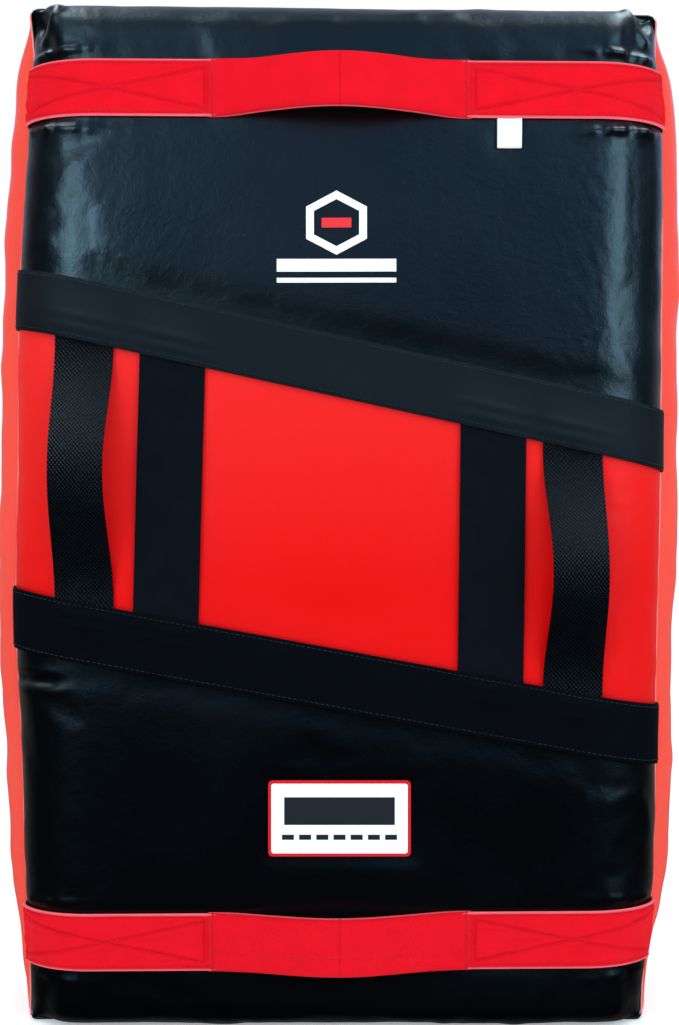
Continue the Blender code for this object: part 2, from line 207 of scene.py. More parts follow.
def half_width(z):
    """Half the pad's greatest width at a height: a barrel outline, narrower at the bottom."""
    if z > WIDEST_Z:
        return HALF_WIDTH - TOP_TAPER * ((z - WIDEST_Z) / (HEIGHT - WIDEST_Z)) ** TOP_TAPER_POWER
    return HALF_WIDTH - BOTTOM_TAPER * clamp((WIDEST_Z - z) / WIDEST_Z) ** BOTTOM_TAPER_POWER


def lean(z):
    """How far the sewn cover has shifted sideways on its foam at a height."""
    return sum(shift * exp(-(((z - middle) / spread) ** 2)) for shift, middle, spread in LEANS)


def quarter_lengths(reach, drop, steps=90):
    """Angles round a quarter ellipse and the length of its arc up to each."""
    angles = [pi / 2 * k / steps for k in range(steps + 1)]
    points = [(reach * sin(t), drop * (1 - cos(t))) for t in angles]
    lengths = [0.0]
    for (x0, y0), (x1, y1) in zip(points, points[1:]):
        lengths.append(lengths[-1] + sqrt((x1 - x0) ** 2 + (y1 - y0) ** 2))
    return angles, lengths


SIDE_EDGE = quarter_lengths(EDGE_REACH, EDGE_DROP)
END_EDGE = quarter_lengths(END_REACH, END_DROP)
STRIKE_EDGE = quarter_lengths(STRIKE_RADIUS, STRIKE_RADIUS)


def over_edge(travel, flat, reach, edge):
    """Distance out and angle round the edge after a length of travel from the middle."""
    if travel <= flat:
        return travel, 0.0
    angle = float(np.interp(travel - flat, edge[1], edge[0]))
    return flat + reach * sin(angle), angle


def seam_inset(z):
    """How far inside the pad's greatest width its seam lies on the holder's side."""
    low = SEAM_SPREAD * smoothstep(0.21, 0.08, z) + SEAM_SPREAD * smoothstep(0.06, 0.0, z)
    return SEAM_INSET - low - SEAM_SPREAD * smoothstep(0.040, 0.0, HEIGHT - z)


def gusset_inset(part, z):
    """How far in a side gusset lies, from its seam on the holder's side (part 0) to the other."""
    slack = 1 - 0.95 * smoothstep(0.040, 0.0, HEIGHT - z) - 0.65 * smoothstep(0.10, 0.0, z)
    return seam_inset(z) * (1 - part) + STRIKE_TUCK * part - GUSSET_FULLNESS * slack * sin(pi * part**0.7)


def rounded_corner(x, z, half_x, half_z):
    """Pull the square outline corner in to a round one."""
    u = (x - half_x + OUTLINE_CORNER) / OUTLINE_CORNER
    v = (z - half_z + OUTLINE_CORNER) / OUTLINE_CORNER
    if u <= 0 or v <= 0:
        return x, z
    round_u = u * sqrt(max(0.0, 1 - v * v / 2))
    round_v = v * sqrt(max(0.0, 1 - u * u / 2))
    return half_x + OUTLINE_CORNER * (round_u - 1), half_z + OUTLINE_CORNER * (round_v - 1)


def face_reach(along, half, reach, edge):
    """Distance out and angle at a part (0 to 1) of the way from the middle to the seam."""
    flat = half - reach
    return over_edge(along * (flat + edge[1][-1]), flat, reach, edge)


def form_point(a, b, c):
    """A point of the cover: a across and b up from -1 to 1, c from 0 at the holder's side to 1."""
    on_back = c <= 0
    half_z = HEIGHT / 2
    back_z, back_z_angle = face_reach(abs(b), half_z, END_REACH, END_EDGE)
    height = half_z + (back_z if b > 0 else -back_z)
    inset = seam_inset(height)
    half_x = HALF_WIDTH - gusset_inset(clamp(c), height)
    back_x, back_x_angle = face_reach(abs(a), HALF_WIDTH - inset, EDGE_REACH, SIDE_EDGE)
    strike_x, strike_x_angle = face_reach(abs(a), HALF_WIDTH - STRIKE_TUCK, STRIKE_RADIUS, STRIKE_EDGE)
    strike_z, strike_z_angle = face_reach(abs(b), half_z, STRIKE_RADIUS, STRIKE_EDGE)
    side_drop = EDGE_DROP + (END_DROP - EDGE_DROP) * smoothstep(0.88, 1.0, abs(b))
    side_part = 1 - cos(back_x_angle)
    seam_y = BACK_Y + side_drop * side_part + END_DROP * (1 - cos(back_z_angle)) * (1 - side_part)
    if on_back:
        x, z = back_x, back_z
        y = seam_y
    elif c >= 1:
        x, z = strike_x, strike_z
        y = STRIKE_Y - STRIKE_RADIUS * (1 - cos(strike_x_angle) * cos(strike_z_angle))
    else:
        x = back_x / (HALF_WIDTH - inset) * (1 - c) + strike_x / (HALF_WIDTH - STRIKE_TUCK) * c
        x *= half_x
        z = back_z * (1 - c) + strike_z * c
        y = seam_y + (STRIKE_SEAM_Y - seam_y) * c
    x, z = rounded_corner(x, z, half_x, half_z)
    height = HEIGHT / 2 + (z if b > 0 else -z)
    across = (x if a > 0 else -x) * half_width(height) / HALF_WIDTH
    fall = (TOP_SINK + TOP_FALL * across / HALF_WIDTH) * (height / HEIGHT) ** 6
    return Vector((across + lean(height), y, height - fall))


def back_sheet(x_travel, z, lift):
    """A point lifted off the back panel after a length of travel from the middle line, with its
    normal. It holds away from the rounded top and bottom edges."""
    flat = (HALF_WIDTH - seam_inset(z) - EDGE_REACH) * half_width(z) / HALF_WIDTH
    reach = EDGE_REACH * half_width(z) / HALF_WIDTH
    from_middle = x_travel - lean(z)
    x, angle = over_edge(abs(from_middle), flat, reach, SIDE_EDGE)
    sign = 1 if from_middle > 0 else -1
    normal = Vector((EDGE_DROP * sin(angle) * sign, -EDGE_REACH * cos(angle), 0)).normalized()
    point = Vector((lean(z) + x * sign, BACK_Y + EDGE_DROP * (1 - cos(angle)), z))
    return point + normal * lift, normal


def seam_travel(z):
    """Length of travel across the back panel from the middle line to its side seam."""
    return (HALF_WIDTH - seam_inset(z) - EDGE_REACH) * half_width(z) / HALF_WIDTH + SIDE_EDGE[1][-1]


def edge_fade(x_travel, z, reach=0.016):
    """1 on the panel and 0 at its side seams, where sewn-in strips lie close."""
    return smoothstep(0.0, reach, seam_travel(z) - abs(x_travel - lean(z)))


# Which parts of the back panel are held down


def band_middle(name, x):
    return BAND_Z[name] - BAND_SLOPE[name] * x


def handle_middle(end, x):
    return HANDLE_Z[end] + HANDLE_TILT[end] * x


def held_down(x, z):
    """1 where a band, handle or badge is sewn on, falling to 0 a little outside it."""
    held = 0.0
    for name in ("upper", "lower"):
        distance = abs(z - band_middle(name, x)) * cos(atan(BAND_SLOPE[name])) - BAND_HALF
        held = max(held, 1 - smoothstep(-0.002, 0.022, distance))
    for end in ("top", "bottom"):
        distance = max(abs(z - handle_middle(end, x)) - HANDLE_WIDTH / 2, HANDLE_HALF_SPAN - abs(x))
        held = max(held, 1 - smoothstep(-0.002, 0.006, distance))
    if band_middle("lower", x) < z < band_middle("upper", x):
        for middle in STRAP_X.values():
            distance = abs(x - middle) - STRAP_WIDTH / 2
            held = max(held, 0.9 * (1 - smoothstep(-0.002, 0.010, distance)))
        for middle in LOOP_X.values():
            aside = abs(x - middle) - LOOP_WIDTH / 2
            from_band = min(band_middle("upper", x) - z, z - band_middle("lower", x)) - 0.045
            held = max(held, 0.9 * (1 - smoothstep(-0.002, 0.012, max(aside, from_band))))
    for middle_x, middle_z, half_x, half_z in HELD_PATCHES:
        across = 1 - smoothstep(0.0, 0.008, abs(x - middle_x) - half_x)
        up = 1 - smoothstep(0.0, 0.008, abs(z - middle_z) - half_z)
        held = max(held, 0.9 * across * up)
    return held


# The cover: a lattice over its form, then cloth, then sewn details


def lattice_sizes():
    """How many cells the cover has across, up and through."""
    across = round(2 * seam_travel(WIDEST_Z) / CELL)
    up = round((HEIGHT + 2 * (END_EDGE[1][-1] - END_REACH)) / CELL)
    through = round((STRIKE_SEAM_Y - BACK_Y - EDGE_DROP) / CELL)
    return across, up, through


def make_lattice():
    """The cover's whole skin as quads, with the lattice place (a, b, c) of each point."""
    across, up, through = lattice_sizes()
    index, points, places = {}, [], []

    def corner(i, j, k):
        if (i, j, k) not in index:
            a, b, c = 2 * i / across - 1, 2 * k / up - 1, j / through
            index[i, j, k] = len(points)
            points.append(form_point(a, b, c))
            places.append((a, b, c))
        return index[i, j, k]

    quads, sides = [], []

    def add(side, *corners):
        quads.append(tuple(corner(*place) for place in corners))
        sides.append(side)

    for i in range(across):
        for k in range(up):
            add("back", (i, 0, k), (i + 1, 0, k), (i + 1, 0, k + 1), (i, 0, k + 1))
            ring = ((i, k), (i, k + 1), (i + 1, k + 1), (i + 1, k))
            add("strike", *((x, through, z) for x, z in ring))
    for j in range(through):
        for k in range(up):
            add("left", (0, j, k), (0, j, k + 1), (0, j + 1, k + 1), (0, j + 1, k))
            add("right", (across, j, k), (across, j + 1, k), (across, j + 1, k + 1), (across, j, k + 1))
        for i in range(across):
            add("bottom", (i, j, 0), (i, j + 1, 0), (i + 1, j + 1, 0), (i + 1, j, 0))
            add("top", (i, j, up), (i + 1, j, up), (i + 1, j + 1, up), (i, j + 1, up))
    return points, places, quads, sides


def on_seam(place):
    """Whether a lattice point lies on one of the cover's seams."""
    a, b, c = place
    edge_a, edge_b = abs(a) == 1, abs(b) == 1
    return (c in (0, 1) and (edge_a or edge_b)) or (edge_a and edge_b)


CLOTH_FRAMES = 20
CLOTH = {
    "quality": 6, "mass": 0.3, "tension_stiffness": 30, "compression_stiffness": 30,
    "shear_stiffness": 12, "bending_stiffness": 0.6, "use_pressure": True,
    "uniform_pressure_force": 4, "vertex_group_mass": "pinned", "pin_stiffness": 2,
    "vertex_group_shrink": "tight", "shrink_min": -0.025, "shrink_max": 0.05,
}


def inflate(points, places, quads):
    """Blow the skin up as cloth, with its seams drawn tight, and return where its points go."""
    mesh = bpy.data.meshes.new("inflating_cover")
    mesh.from_pydata(points, [], quads)
    skin = bpy.data.objects.new("inflating_cover", mesh)
    bpy.context.scene.collection.objects.link(skin)
    pinned = skin.vertex_groups.new(name="pinned")
    tight = skin.vertex_groups.new(name="tight")
    for index, (point, place) in enumerate(zip(points, places)):
        hold = held_down(point.x, point.z) if place[2] == 0 else 0.0
        if hold > 0.5 and abs(point.x) < HALF_WIDTH - SEAM_INSET - 0.012:
            pinned.add([index], 0.9, "REPLACE")
        if on_seam(place):
            tight.add([index], 1.0, "REPLACE")
    cloth = add_modifier(skin, "CLOTH")
    for setting, value in CLOTH.items():
        setattr(cloth.settings, setting, value)
    cloth.settings.effector_weights.gravity = 0
    cloth.collision_settings.use_collision = False
    cloth.point_cache.frame_start = 1
    cloth.point_cache.frame_end = CLOTH_FRAMES
    scene = bpy.context.scene
    for step in range(1, CLOTH_FRAMES + 1):
        scene.frame_set(step)
    evaluated = skin.evaluated_get(bpy.context.evaluated_depsgraph_get())
    moved = [vert.co.copy() for vert in evaluated.data.vertices]
    scene.frame_set(1)
    bpy.data.objects.remove(skin, do_unlink=True)
    return moved


def seam_ripple(along, away, reach, height, pitch, seed):
    """Puckers that run away from a seam: how far they stand out at a distance from it."""
    wave = waves(along / pitch, away / 0.06, seed)
    fine = waves(along / (pitch * 0.45), away / 0.04, seed + 9.0)
    return height * (wave + 0.5 * fine) * exp(-away / reach)


def corner_dimple(x, z):
    """The pinched folds where the back panel is sewn round the pad's corners."""
    half_x = half_width(z) - seam_inset(z)
    depth = 0.0
    aside = half_x - abs(x)
    for end, size in ((HEIGHT - z, 1.0), (z, 0.55)):
        if aside > 0.07 or end > 0.07:
            continue
        side = 1.0 if x < 0 else 0.8
        valley = bump_at(aside - 0.006 - 0.30 * end, 0.012) * smoothstep(0.065, 0.012, end)
        ridge = bump_at(aside - 0.022 - 0.20 * end, 0.013)
        ridge *= smoothstep(0.060, 0.02, end) * smoothstep(0.004, 0.020, end)
        fold = bump_at(end - 0.012 - 0.30 * aside, 0.006) * smoothstep(0.060, 0.005, aside)
        depth += size * side * (-0.0060 * valley + 0.0034 * ridge - 0.0024 * fold)
    return depth


def handle_pucker(x, z):
    """Wrinkles that fan out from the ends of the handles."""
    total = 0.0
    for end, strength in (("top", 1.0), ("bottom", 0.7)):
        away = abs(z - handle_middle(end, x)) - HANDLE_WIDTH / 2
        if away < 0 or away > 0.05:
            continue
        outer = smoothstep(0.14, 0.20, abs(x))
        wave = waves(x / 0.011, away / 0.03, 3.0 + (z > handle_middle(end, x)))
        ridge = bump_at(away - 0.006 - 0.06 * (0.21 - abs(x)), 0.005)
        total += strength * outer * (0.0016 * wave * exp(-away / 0.016) + 0.0016 * ridge)
        total += strength * 0.0007 * (1 - outer) * wave * exp(-away / 0.010)
    return total


def back_relief(x, z, travel):
    """How far the finished back panel stands off its plain form."""
    edge = seam_travel(z) - abs(travel)
    end = min(z, HEIGHT - z)
    relief = corner_dimple(x, z) + handle_pucker(x, z)
    relief += seam_ripple(z, max(0.0, edge), 0.020, 0.0013, 0.022, 1.0 if x < 0 else 5.0)
    relief += seam_ripple(x, max(0.0, end), 0.016, 0.0005, 0.028, 2.0 if z > HEIGHT / 2 else 6.0)
    broad = waves(x / 0.075, z / 0.11, 4.0)
    crinkle = waves(x / 0.016, z / 0.024, 8.0)
    relief += 0.0007 * broad + 0.00012 * crinkle
    for name in ("upper", "lower"):
        away = abs(z - band_middle(name, x)) - BAND_HALF
        if 0 <= away < 0.04:
            wave = waves(x / 0.014, away / 0.03, 11.0)
            outer = smoothstep(0.13, 0.20, abs(x))
            relief += (0.0002 + 0.0006 * outer) * wave * exp(-away / 0.012)
    return relief


def gusset_relief(z, part, side):
    """Slanting wrinkles on a side gusset."""
    slant = waves((z + side * part * 0.05) / 0.030, part * 1.2, 20.0 + side)
    fine = waves((z - side * part * 0.03) / 0.012, part * 2.0, 30.0 + side)
    near_seam = 1 - smoothstep(0.0, 0.6, part)
    return 0.0022 * slant + 0.0016 * fine * near_seam + 0.0014 * near_seam * abs(slant)


def relief_at(point, place):
    """The wear and puckers of whichever panel a lattice point is on."""
    a, b, c = place
    if c == 0 and abs(a) < 1 and abs(b) < 1:
        return back_relief(point.x, point.z, a * seam_travel(point.z))
    if c == 1:
        edge = (1 - abs(a)) * seam_travel(point.z)
        end = min(point.z, HEIGHT - point.z)
        return seam_ripple(point.z + point.x, min(edge, end), 0.014, 0.0012, 0.025, 14.0)
    if 0 < c < 1 and abs(a) == 1 and abs(b) < 1:
        return gusset_relief(point.z, c, 1 if a > 0 else -1)
    return 0.0


def point_normals(points, quads):
    """The outward normal at every point of a quad mesh."""
    corners = np.array(points)
    faces = np.array(quads)
    first = corners[faces[:, 2]] - corners[faces[:, 0]]
    second = corners[faces[:, 3]] - corners[faces[:, 1]]
    across = np.cross(first, second)
    normals = np.zeros_like(corners)
    for k in range(4):
        np.add.at(normals, faces[:, k], across)
    return [Vector(n).normalized() for n in normals]


# How far the inflated skin may leave its form
MOST_SLIP = 0.0012
MOST_SWELL_ON_ENDS = 0.0004
MOST_SWELL_ON_BACK = 0.0009
MOST_SWELL_ON_SIDES = 0.0026
MOST_SWELL_ON_STRIKE = 0.0030
MOST_SAG = 0.0003
PRESSED_IN = 0.0004
LOWEST = 0.0003


def most_swell(point, place):
    a, b, c = place
    if abs(b) == 1:
        return MOST_SWELL_ON_ENDS
    if c == 1:
        return MOST_SWELL_ON_STRIKE
    if c > 0:
        return MOST_SWELL_ON_SIDES * smoothstep(1.0, 0.93, abs(b))
    near_seam = 1 - smoothstep(0.0, 0.05, (1 - abs(a)) * seam_travel(point.z))
    return MOST_SWELL_ON_BACK * (1 - 0.75 * near_seam)


def finished_cover(points, places, quads):
    """The cover's points after inflation, sewing and wear, held to the CAD model's space."""
    normals = point_normals(points, quads)
    moved = inflate(points, places, quads)
    done = []
    for point, place, normal, new in zip(points, places, normals, moved):
        move = new - point
        swell = move.dot(normal)
        slip = (move - normal * swell) * 0.4
        slip *= MOST_SLIP / max(MOST_SLIP, slip.length)
        free = 1 - held_down(point.x, point.z) if place[2] == 0 else 1.0
        most = max(1e-4, most_swell(point, place))
        swell = max(-MOST_SAG, most * np.tanh(swell / most))
        relief = relief_at(point, place)
        offset = (swell + relief) * free - PRESSED_IN * (1 - free)
        if on_seam(place):
            offset -= SEAM_GROOVE
        result = point + slip * free + normal * offset
        result.z = max(LOWEST, result.z)
        done.append(result)
    return done


CURL_PATH = ((0.002, 0.001), (0.024, 0.009), (0.012, 0.030))
CURL_HOLLOW = (0.009, 0.016)


def corner_curl(across, down):
    """The sharp fold that curls in from a top corner of the back panel and turns back out."""
    here = Vector((across, down))
    path = [Vector(at) for at in CURL_PATH]
    nearest = 1.0
    for start, end in zip(path, path[1:]):
        run = end - start
        part = min(1.0, max(0.0, (here - start).dot(run) / run.length_squared))
        nearest = min(nearest, (here - start - run * part).length)
    hollow = (here - Vector(CURL_HOLLOW)).length
    return 0.0026 * bump_at(nearest, 0.0050) - 0.0030 * bump_at(hollow, 0.010)


PINCH_Z = 0.2372


def fine_relief(x, z):
    """Crinkles and puckers finer than the cover's lattice, on the back panel."""
    aside = half_width(z) - seam_inset(z) - abs(x - lean(z))
    fade = smoothstep(0.0, 0.008, min(aside, z, HEIGHT - z))
    if fade <= 0:
        return 0.0
    crinkle = waves(x / 0.0065, z / 0.010, 70.0)
    crinkle += 0.5 * waves(x / 0.0035, z / 0.0045, 75.0)
    total = (0.00002 + 0.00014 * bump_at(abs(x) - 0.180, 0.045)) * crinkle
    if HEIGHT - z < 0.05 and aside < 0.05:
        total += corner_curl(aside, HEIGHT - z)
    for end, strength in (("top", 1.0), ("bottom", 0.5)):
        away = abs(z - handle_middle(end, x)) - HANDLE_WIDTH / 2
        if 0 < away < 0.03:
            outer = smoothstep(0.150, 0.195, abs(x))
            wave = waves(x / 0.0060, away / 0.02, 80.0)
            slant = 0.06 * max(0.0, 0.205 - abs(x))
            ridge = bump_at(away - 0.0060 - slant, 0.0036) * (0.7 + wave)
            total += strength * outer * (0.0012 * wave * exp(-away / 0.008) + 0.0024 * ridge)
    rise = z - PINCH_Z
    if x < -0.16 and abs(rise) < 0.028:
        pinch = 0.0011 * (bump_at(rise + 0.0077, 0.005) + bump_at(rise - 0.0068, 0.004))
        pinch -= 0.0034 * bump_at(rise, 0.0050)
        total += smoothstep(-0.176, -0.202, x) * pinch
    return total * fade * (1 - held_down(x, z))


def crinkled(piece):
    """Work the fine relief into a finished panel's mesh."""
    verts = piece.data.vertices
    normals = [vert.normal.copy() for vert in verts]
    for vert, normal in zip(verts, normals):
        vert.co += normal * fine_relief(vert.co.x, vert.co.z)
    piece.data.update()


def cover_panel(name, points, quads, sides, wanted, planes, material):
    """One sewn panel: the faces of some sides of the skin, cut by planes and thickened."""
    builder = bmesh.new()
    used = {}
    for quad, side in zip(quads, sides):
        if side not in wanted:
            continue
        verts = []
        for index in quad:
            if index not in used:
                used[index] = builder.verts.new(points[index])
            verts.append(used[index])
        builder.faces.new(verts)
    for point, normal in planes:
        geometry = builder.verts[:] + builder.edges[:] + builder.faces[:]
        bmesh.ops.bisect_plane(
            builder, geom=geometry, dist=1e-6, plane_co=point, plane_no=normal, clear_outer=True
        )
    piece = new_piece(name, builder, material, "pad")
    levels = 2 if "back" in wanted else 1
    add_modifier(
        piece, "SUBSURF", levels=levels, render_levels=levels, boundary_smooth="PRESERVE_CORNERS"
    )
    apply_modifiers(piece)
    if "back" in wanted:
        crinkled(piece)
    add_modifier(piece, "SOLIDIFY", thickness=VINYL, offset=-1.0)
    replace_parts(piece, name)
    return piece


def band_plane(name, keep_below):
    """The slanted plane along a band's middle line; it keeps the part below or above."""
    angle = atan(BAND_SLOPE[name])
    normal = Vector((sin(angle), 0, cos(angle)))
    return (Vector((0, 0, BAND_Z[name])), normal if keep_below else -normal)


def make_cover(black, shaded_black, red, side, edge):
    """The cover's eight panels and its seams; returns the back panels' surface, to lay things on."""
    points, places, quads, sides = make_lattice()
    points = finished_cover(points, places, quads)
    skin = (points, quads, sides)
    upper_above, upper_below = band_plane("upper", False), band_plane("upper", True)
    lower_above, lower_below = band_plane("lower", False), band_plane("lower", True)
    back = [
        cover_panel("upper_back_panel", *skin, {"back"}, [upper_above], black),
        cover_panel("centre_back_panel", *skin, {"back"}, [upper_below, lower_above], red),
        # The lower back panel takes the darker black: painted shade.
        cover_panel("lower_back_panel", *skin, {"back"}, [lower_below], shaded_black),
    ]
    # The side gussets take the paler red: painted sheen.
    cover_panel("left_gusset", *skin, {"left"}, [], side)
    cover_panel("right_gusset", *skin, {"right"}, [], side)
    cover_panel("top_gusset", *skin, {"top"}, [], black)
    cover_panel("bottom_gusset", *skin, {"bottom"}, [], black)
    cover_panel("strike_panel", *skin, {"strike"}, [], black)
    seam = {place: point for place, point in zip(places, points) if on_seam(place)}
    make_seams(seam, black, edge)
    surface_points, surface_faces = [], []
    for panel in back:
        first = len(surface_points)
        surface_points += [vert.co.copy() for vert in panel.data.vertices]
        surface_faces += [[first + k for k in face.vertices] for face in panel.data.polygons]
    return BVHTree.FromPolygons(surface_points, surface_faces)


def tube(name, path, radius, material, closed=False):
    """A round roll along a path."""
    builder = bmesh.new()
    rings = []
    count, sides = len(path), 8
    side = None
    for k, point in enumerate(path):
        before = path[(k - 1) % count] if closed or k > 0 else point
        after = path[(k + 1) % count] if closed or k < count - 1 else point
        along = (after - before).normalized()
        if side is None:
            side = along.orthogonal()
        side = (side - along * side.dot(along)).normalized()
        up = along.cross(side)
        ring = [
            builder.verts.new(point + (side * cos(tau * n / sides) + up * sin(tau * n / sides)) * radius)
            for n in range(sides)
        ]
        rings.append(ring)
    bridge(builder, rings, capped=not closed)
    if closed:
        turn = min(range(sides), key=lambda n: (rings[0][n].co - rings[-1][0].co).length)
        bridge(builder, [rings[-1], rings[0][turn:] + rings[0][:turn]], capped=False)
    bmesh.ops.recalc_face_normals(builder, faces=builder.faces)
    new_piece(name, builder, material, "pad")


WIDE_ROLL, ROLL, THIN_ROLL = 0.0013, 0.0011, 0.0009
ROLL_CLEAR_OF_FLOOR = 0.0014


def make_seams(seam, black, edge):
    """The turned edges along the seams, as thin rolls: pale red down the gussets, the paleness a painted
    highlight on the turned red edge, black elsewhere.
    seam holds the cover's point at each lattice place (a, b, c) on a seam."""

    def along(axis, places, direction=1):
        return sorted(places, key=lambda place: direction * place[axis])

    def outward(point, amount, depth=0.0):
        away = Vector((point.x, 0, point.z - HEIGHT / 2)).normalized()
        return point + away * amount + Vector((0, depth, 0))

    def roll(name, run, radius, material, closed=False):
        run = [Vector((p.x, p.y, max(p.z, ROLL_CLEAR_OF_FLOOR))) for p in run]
        tube(name, run, radius, material, closed)

    for side, sign in (("left", -1), ("right", 1)):
        path = along(1, (place for place in seam if place[0] == sign and place[2] == 0))
        run = [seam[place] + Vector((sign * 0.0011, 0.0002, 0)) for place in path[1:-1]]
        # Painted highlight: this roll wears the pale red.
        roll(f"{side}_back_seam_roll", run, WIDE_ROLL, edge)
        run = [seam[place] + Vector((sign * 0.0001, -0.0013, 0)) for place in path]
        tube(f"{side}_back_seam_edge", run, THIN_ROLL, black)
        for end, rise in (("bottom", -1), ("top", 1)):
            path = along(2, (place for place in seam if place[0] == sign and place[1] == rise))
            run = [outward(seam[place], 0.0005) for place in path]
            roll(f"{side}_{end}_corner_seam_roll", run, ROLL, black)
    for end, rise in (("bottom", -1), ("top", 1)):
        path = along(0, (place for place in seam if place[1] == rise and place[2] == 0))
        run = [seam[place] + Vector((0, -0.0002, rise * 0.0007)) for place in path]
        roll(f"{end}_back_seam_roll", run, ROLL, black)
    ring = [place for place in seam if place[2] == 1]
    path = along(0, (place for place in ring if place[1] == -1))
    path += along(1, (place for place in ring if place[0] == 1 and abs(place[1]) < 1))
    path += along(0, (place for place in ring if place[1] == 1), -1)
    path += along(1, (place for place in ring if place[0] == -1 and abs(place[1]) < 1), -1)
    run = [outward(seam[place], 0.0006, 0.0004) for place in path]
    roll("strike_seam_roll", run, WIDE_ROLL, black, closed=True)


# Materials


# Heights between which the centre panel's red turns to its darker low colour: painted shade, where less
# gloss falls lower down.
PAINTED_SHADE_Z = (0.30, 0.48)


def node_maker(owner):
    """A function that adds a node to a material or world, with its inputs set or linked."""
    nodes, links = owner.node_tree.nodes, owner.node_tree.links

    def make(kind, inputs=None, **settings):
        node = nodes.new(kind)
        for key, value in settings.items():
            setattr(node, key, value)
        for key, value in (inputs or {}).items():
            if isinstance(value, bpy.types.NodeSocket):
                links.new(value, node.inputs[key])
            else:
                node.inputs[key].default_value = value
        return node

    return make


def calculate(make, operation, first, second=0.0):
    return make("ShaderNodeMath", {0: first, 1: second}, operation=operation).outputs["Value"]


def ramp(make, value, low, high, start=0.0, stop=1.0, **settings):
    """Start up to low, stop from high on."""
    limits = {"Value": value, "From Min": low, "From Max": high, "To Min": start, "To Max": stop}
    return make("ShaderNodeMapRange", limits, **settings).outputs["Result"]


def mix_colours(make, factor, first, second):
    """Between two colours, each a triple or another node's output."""
    sides = {
        name: (*colour, 1.0) if isinstance(colour, (tuple, list)) else colour
        for name, colour in (("A", first), ("B", second))
    }
    mixed = make("ShaderNodeMix", {"Factor": factor, **sides}, data_type="RGBA")
    return mixed.outputs["Result"]


def finish(name):
    """A new material: itself, its node maker, and a function that sets or links shader inputs."""
    material = bpy.data.materials.new(name)
    material.use_nodes = True
    shader = material.node_tree.nodes["Principled BSDF"]

    def surface(**inputs):
        for key, value in inputs.items():
            socket = shader.inputs[key.replace("_", " ")]
            if isinstance(value, bpy.types.NodeSocket):
                material.node_tree.links.new(value, socket)
            else:
                socket.default_value = value

    return material, node_maker(material), surface


def bumped(make, height, strength, distance, below=None):
    inputs = {"Height": height, "Strength": strength, "Distance": distance}
    if below is not None:
        inputs["Normal"] = below
    return make("ShaderNodeBump", inputs).outputs["Normal"]


def noise_pattern(make, place, scale, detail, distortion=0.0):
    inputs = {"Vector": place, "Scale": scale, "Detail": detail, "Distortion": distortion}
    return make("ShaderNodeTexNoise", inputs).outputs["Fac"]


def vinyl(name, colour, worn, roughness, specular, low=None):
    """Coated vinyl: fine leather grain, small creases, uneven gloss and a little wear.
    low is the darker colour painted in toward the centre panel's lower edge, as shade where less gloss
    falls."""
    material, make, surface = finish(name)
    place = make("ShaderNodeTexCoord").outputs["Object"]
    patches = noise_pattern(make, place, 9.0, 4.0)
    cells = make("ShaderNodeTexVoronoi", {"Vector": place, "Scale": 1100.0}).outputs["Distance"]
    pores = noise_pattern(make, place, 420.0, 3.0)
    shown = mix_colours(make, patches, colour, worn)
    if low is not None:
        # Painted shade: below these heights the colour fades to the darker low one.
        height = make("ShaderNodeSeparateXYZ", {"Vector": place}).outputs["Z"]
        shown = mix_colours(make, ramp(make, height, *PAINTED_SHADE_Z), low, shown)
    grain = bumped(make, calculate(make, "ADD", cells, pores), 0.25, 0.0002)
    creased = bumped(make, noise_pattern(make, place, 170.0, 3.0, 0.6), 0.35, 0.0006, grain)
    surface(
        Base_Color=shown, Roughness=ramp(make, patches, 0.3, 0.7, roughness - 0.05, roughness + 0.07),
        Normal=creased, Specular_IOR_Level=specular,
    )
    return material


def woven(name, colour, dark, pitch, roughness=0.8, depth=0.0004, gloss=0.2, edge_highlight=None):
    """Woven webbing or knit: an over-and-under pattern along and across the strap, its low points painted
    darker as shade and its tone uneven in patches.
    Its last argument gives how far out from the middle a paler edge starts and ends, and that edge's
    colour: a painted highlight along the webbing's edges."""
    material, make, surface = finish(name)
    cloth = make("ShaderNodeAttribute", attribute_name="cloth").outputs["Vector"]
    axes = make("ShaderNodeSeparateXYZ", {"Vector": cloth}).outputs

    def math(operation, first, second=0.0):
        return calculate(make, operation, first, second)

    along = math("SINE", math("MULTIPLY", axes["X"], tau / pitch[0]))
    across = math("SINE", math("MULTIPLY", axes["Y"], tau / pitch[1]))
    level = ramp(make, math("MULTIPLY", along, across), -1.0, 1.0)
    strands = noise_pattern(make, cloth, 1500.0, 2.0)
    patches = noise_pattern(make, cloth, 60.0, 3.0)
    height = math("ADD", level, math("MULTIPLY", strands, 0.5))
    # Painted shade: where the weave lies low, the colour turns to the darker one; patches vary it at
    # random.
    factor = math("MULTIPLY", math("MULTIPLY", level, patches), 1.6)
    shown = mix_colours(make, factor, dark, colour)
    # Painted highlight: the strap's edges turn paler.
    if edge_highlight:
        start, stop, pale = edge_highlight
        shown = mix_colours(make, ramp(make, math("ABSOLUTE", axes["Y"]), start, stop), shown, pale)
    surface(
        Base_Color=shown, Normal=bumped(make, height, 0.8, depth), Roughness=roughness,
        Specular_IOR_Level=gloss,
    )
    return material


def plain(name, colour, roughness, specular=0.4, speckle=0.12, scale=700.0):
    """A smooth coated or foam surface with fine unevenness."""
    material, make, surface = finish(name)
    spots = noise_pattern(make, make("ShaderNodeTexCoord").outputs["Object"], scale, 3.0)
    darker = [part * (1 - speckle) for part in colour]
    surface(
        Base_Color=mix_colours(make, spots, colour, darker), Normal=bumped(make, spots, 0.15, 0.0002),
        Roughness=roughness, Specular_IOR_Level=specular,
    )
    return material


# Strips of webbing


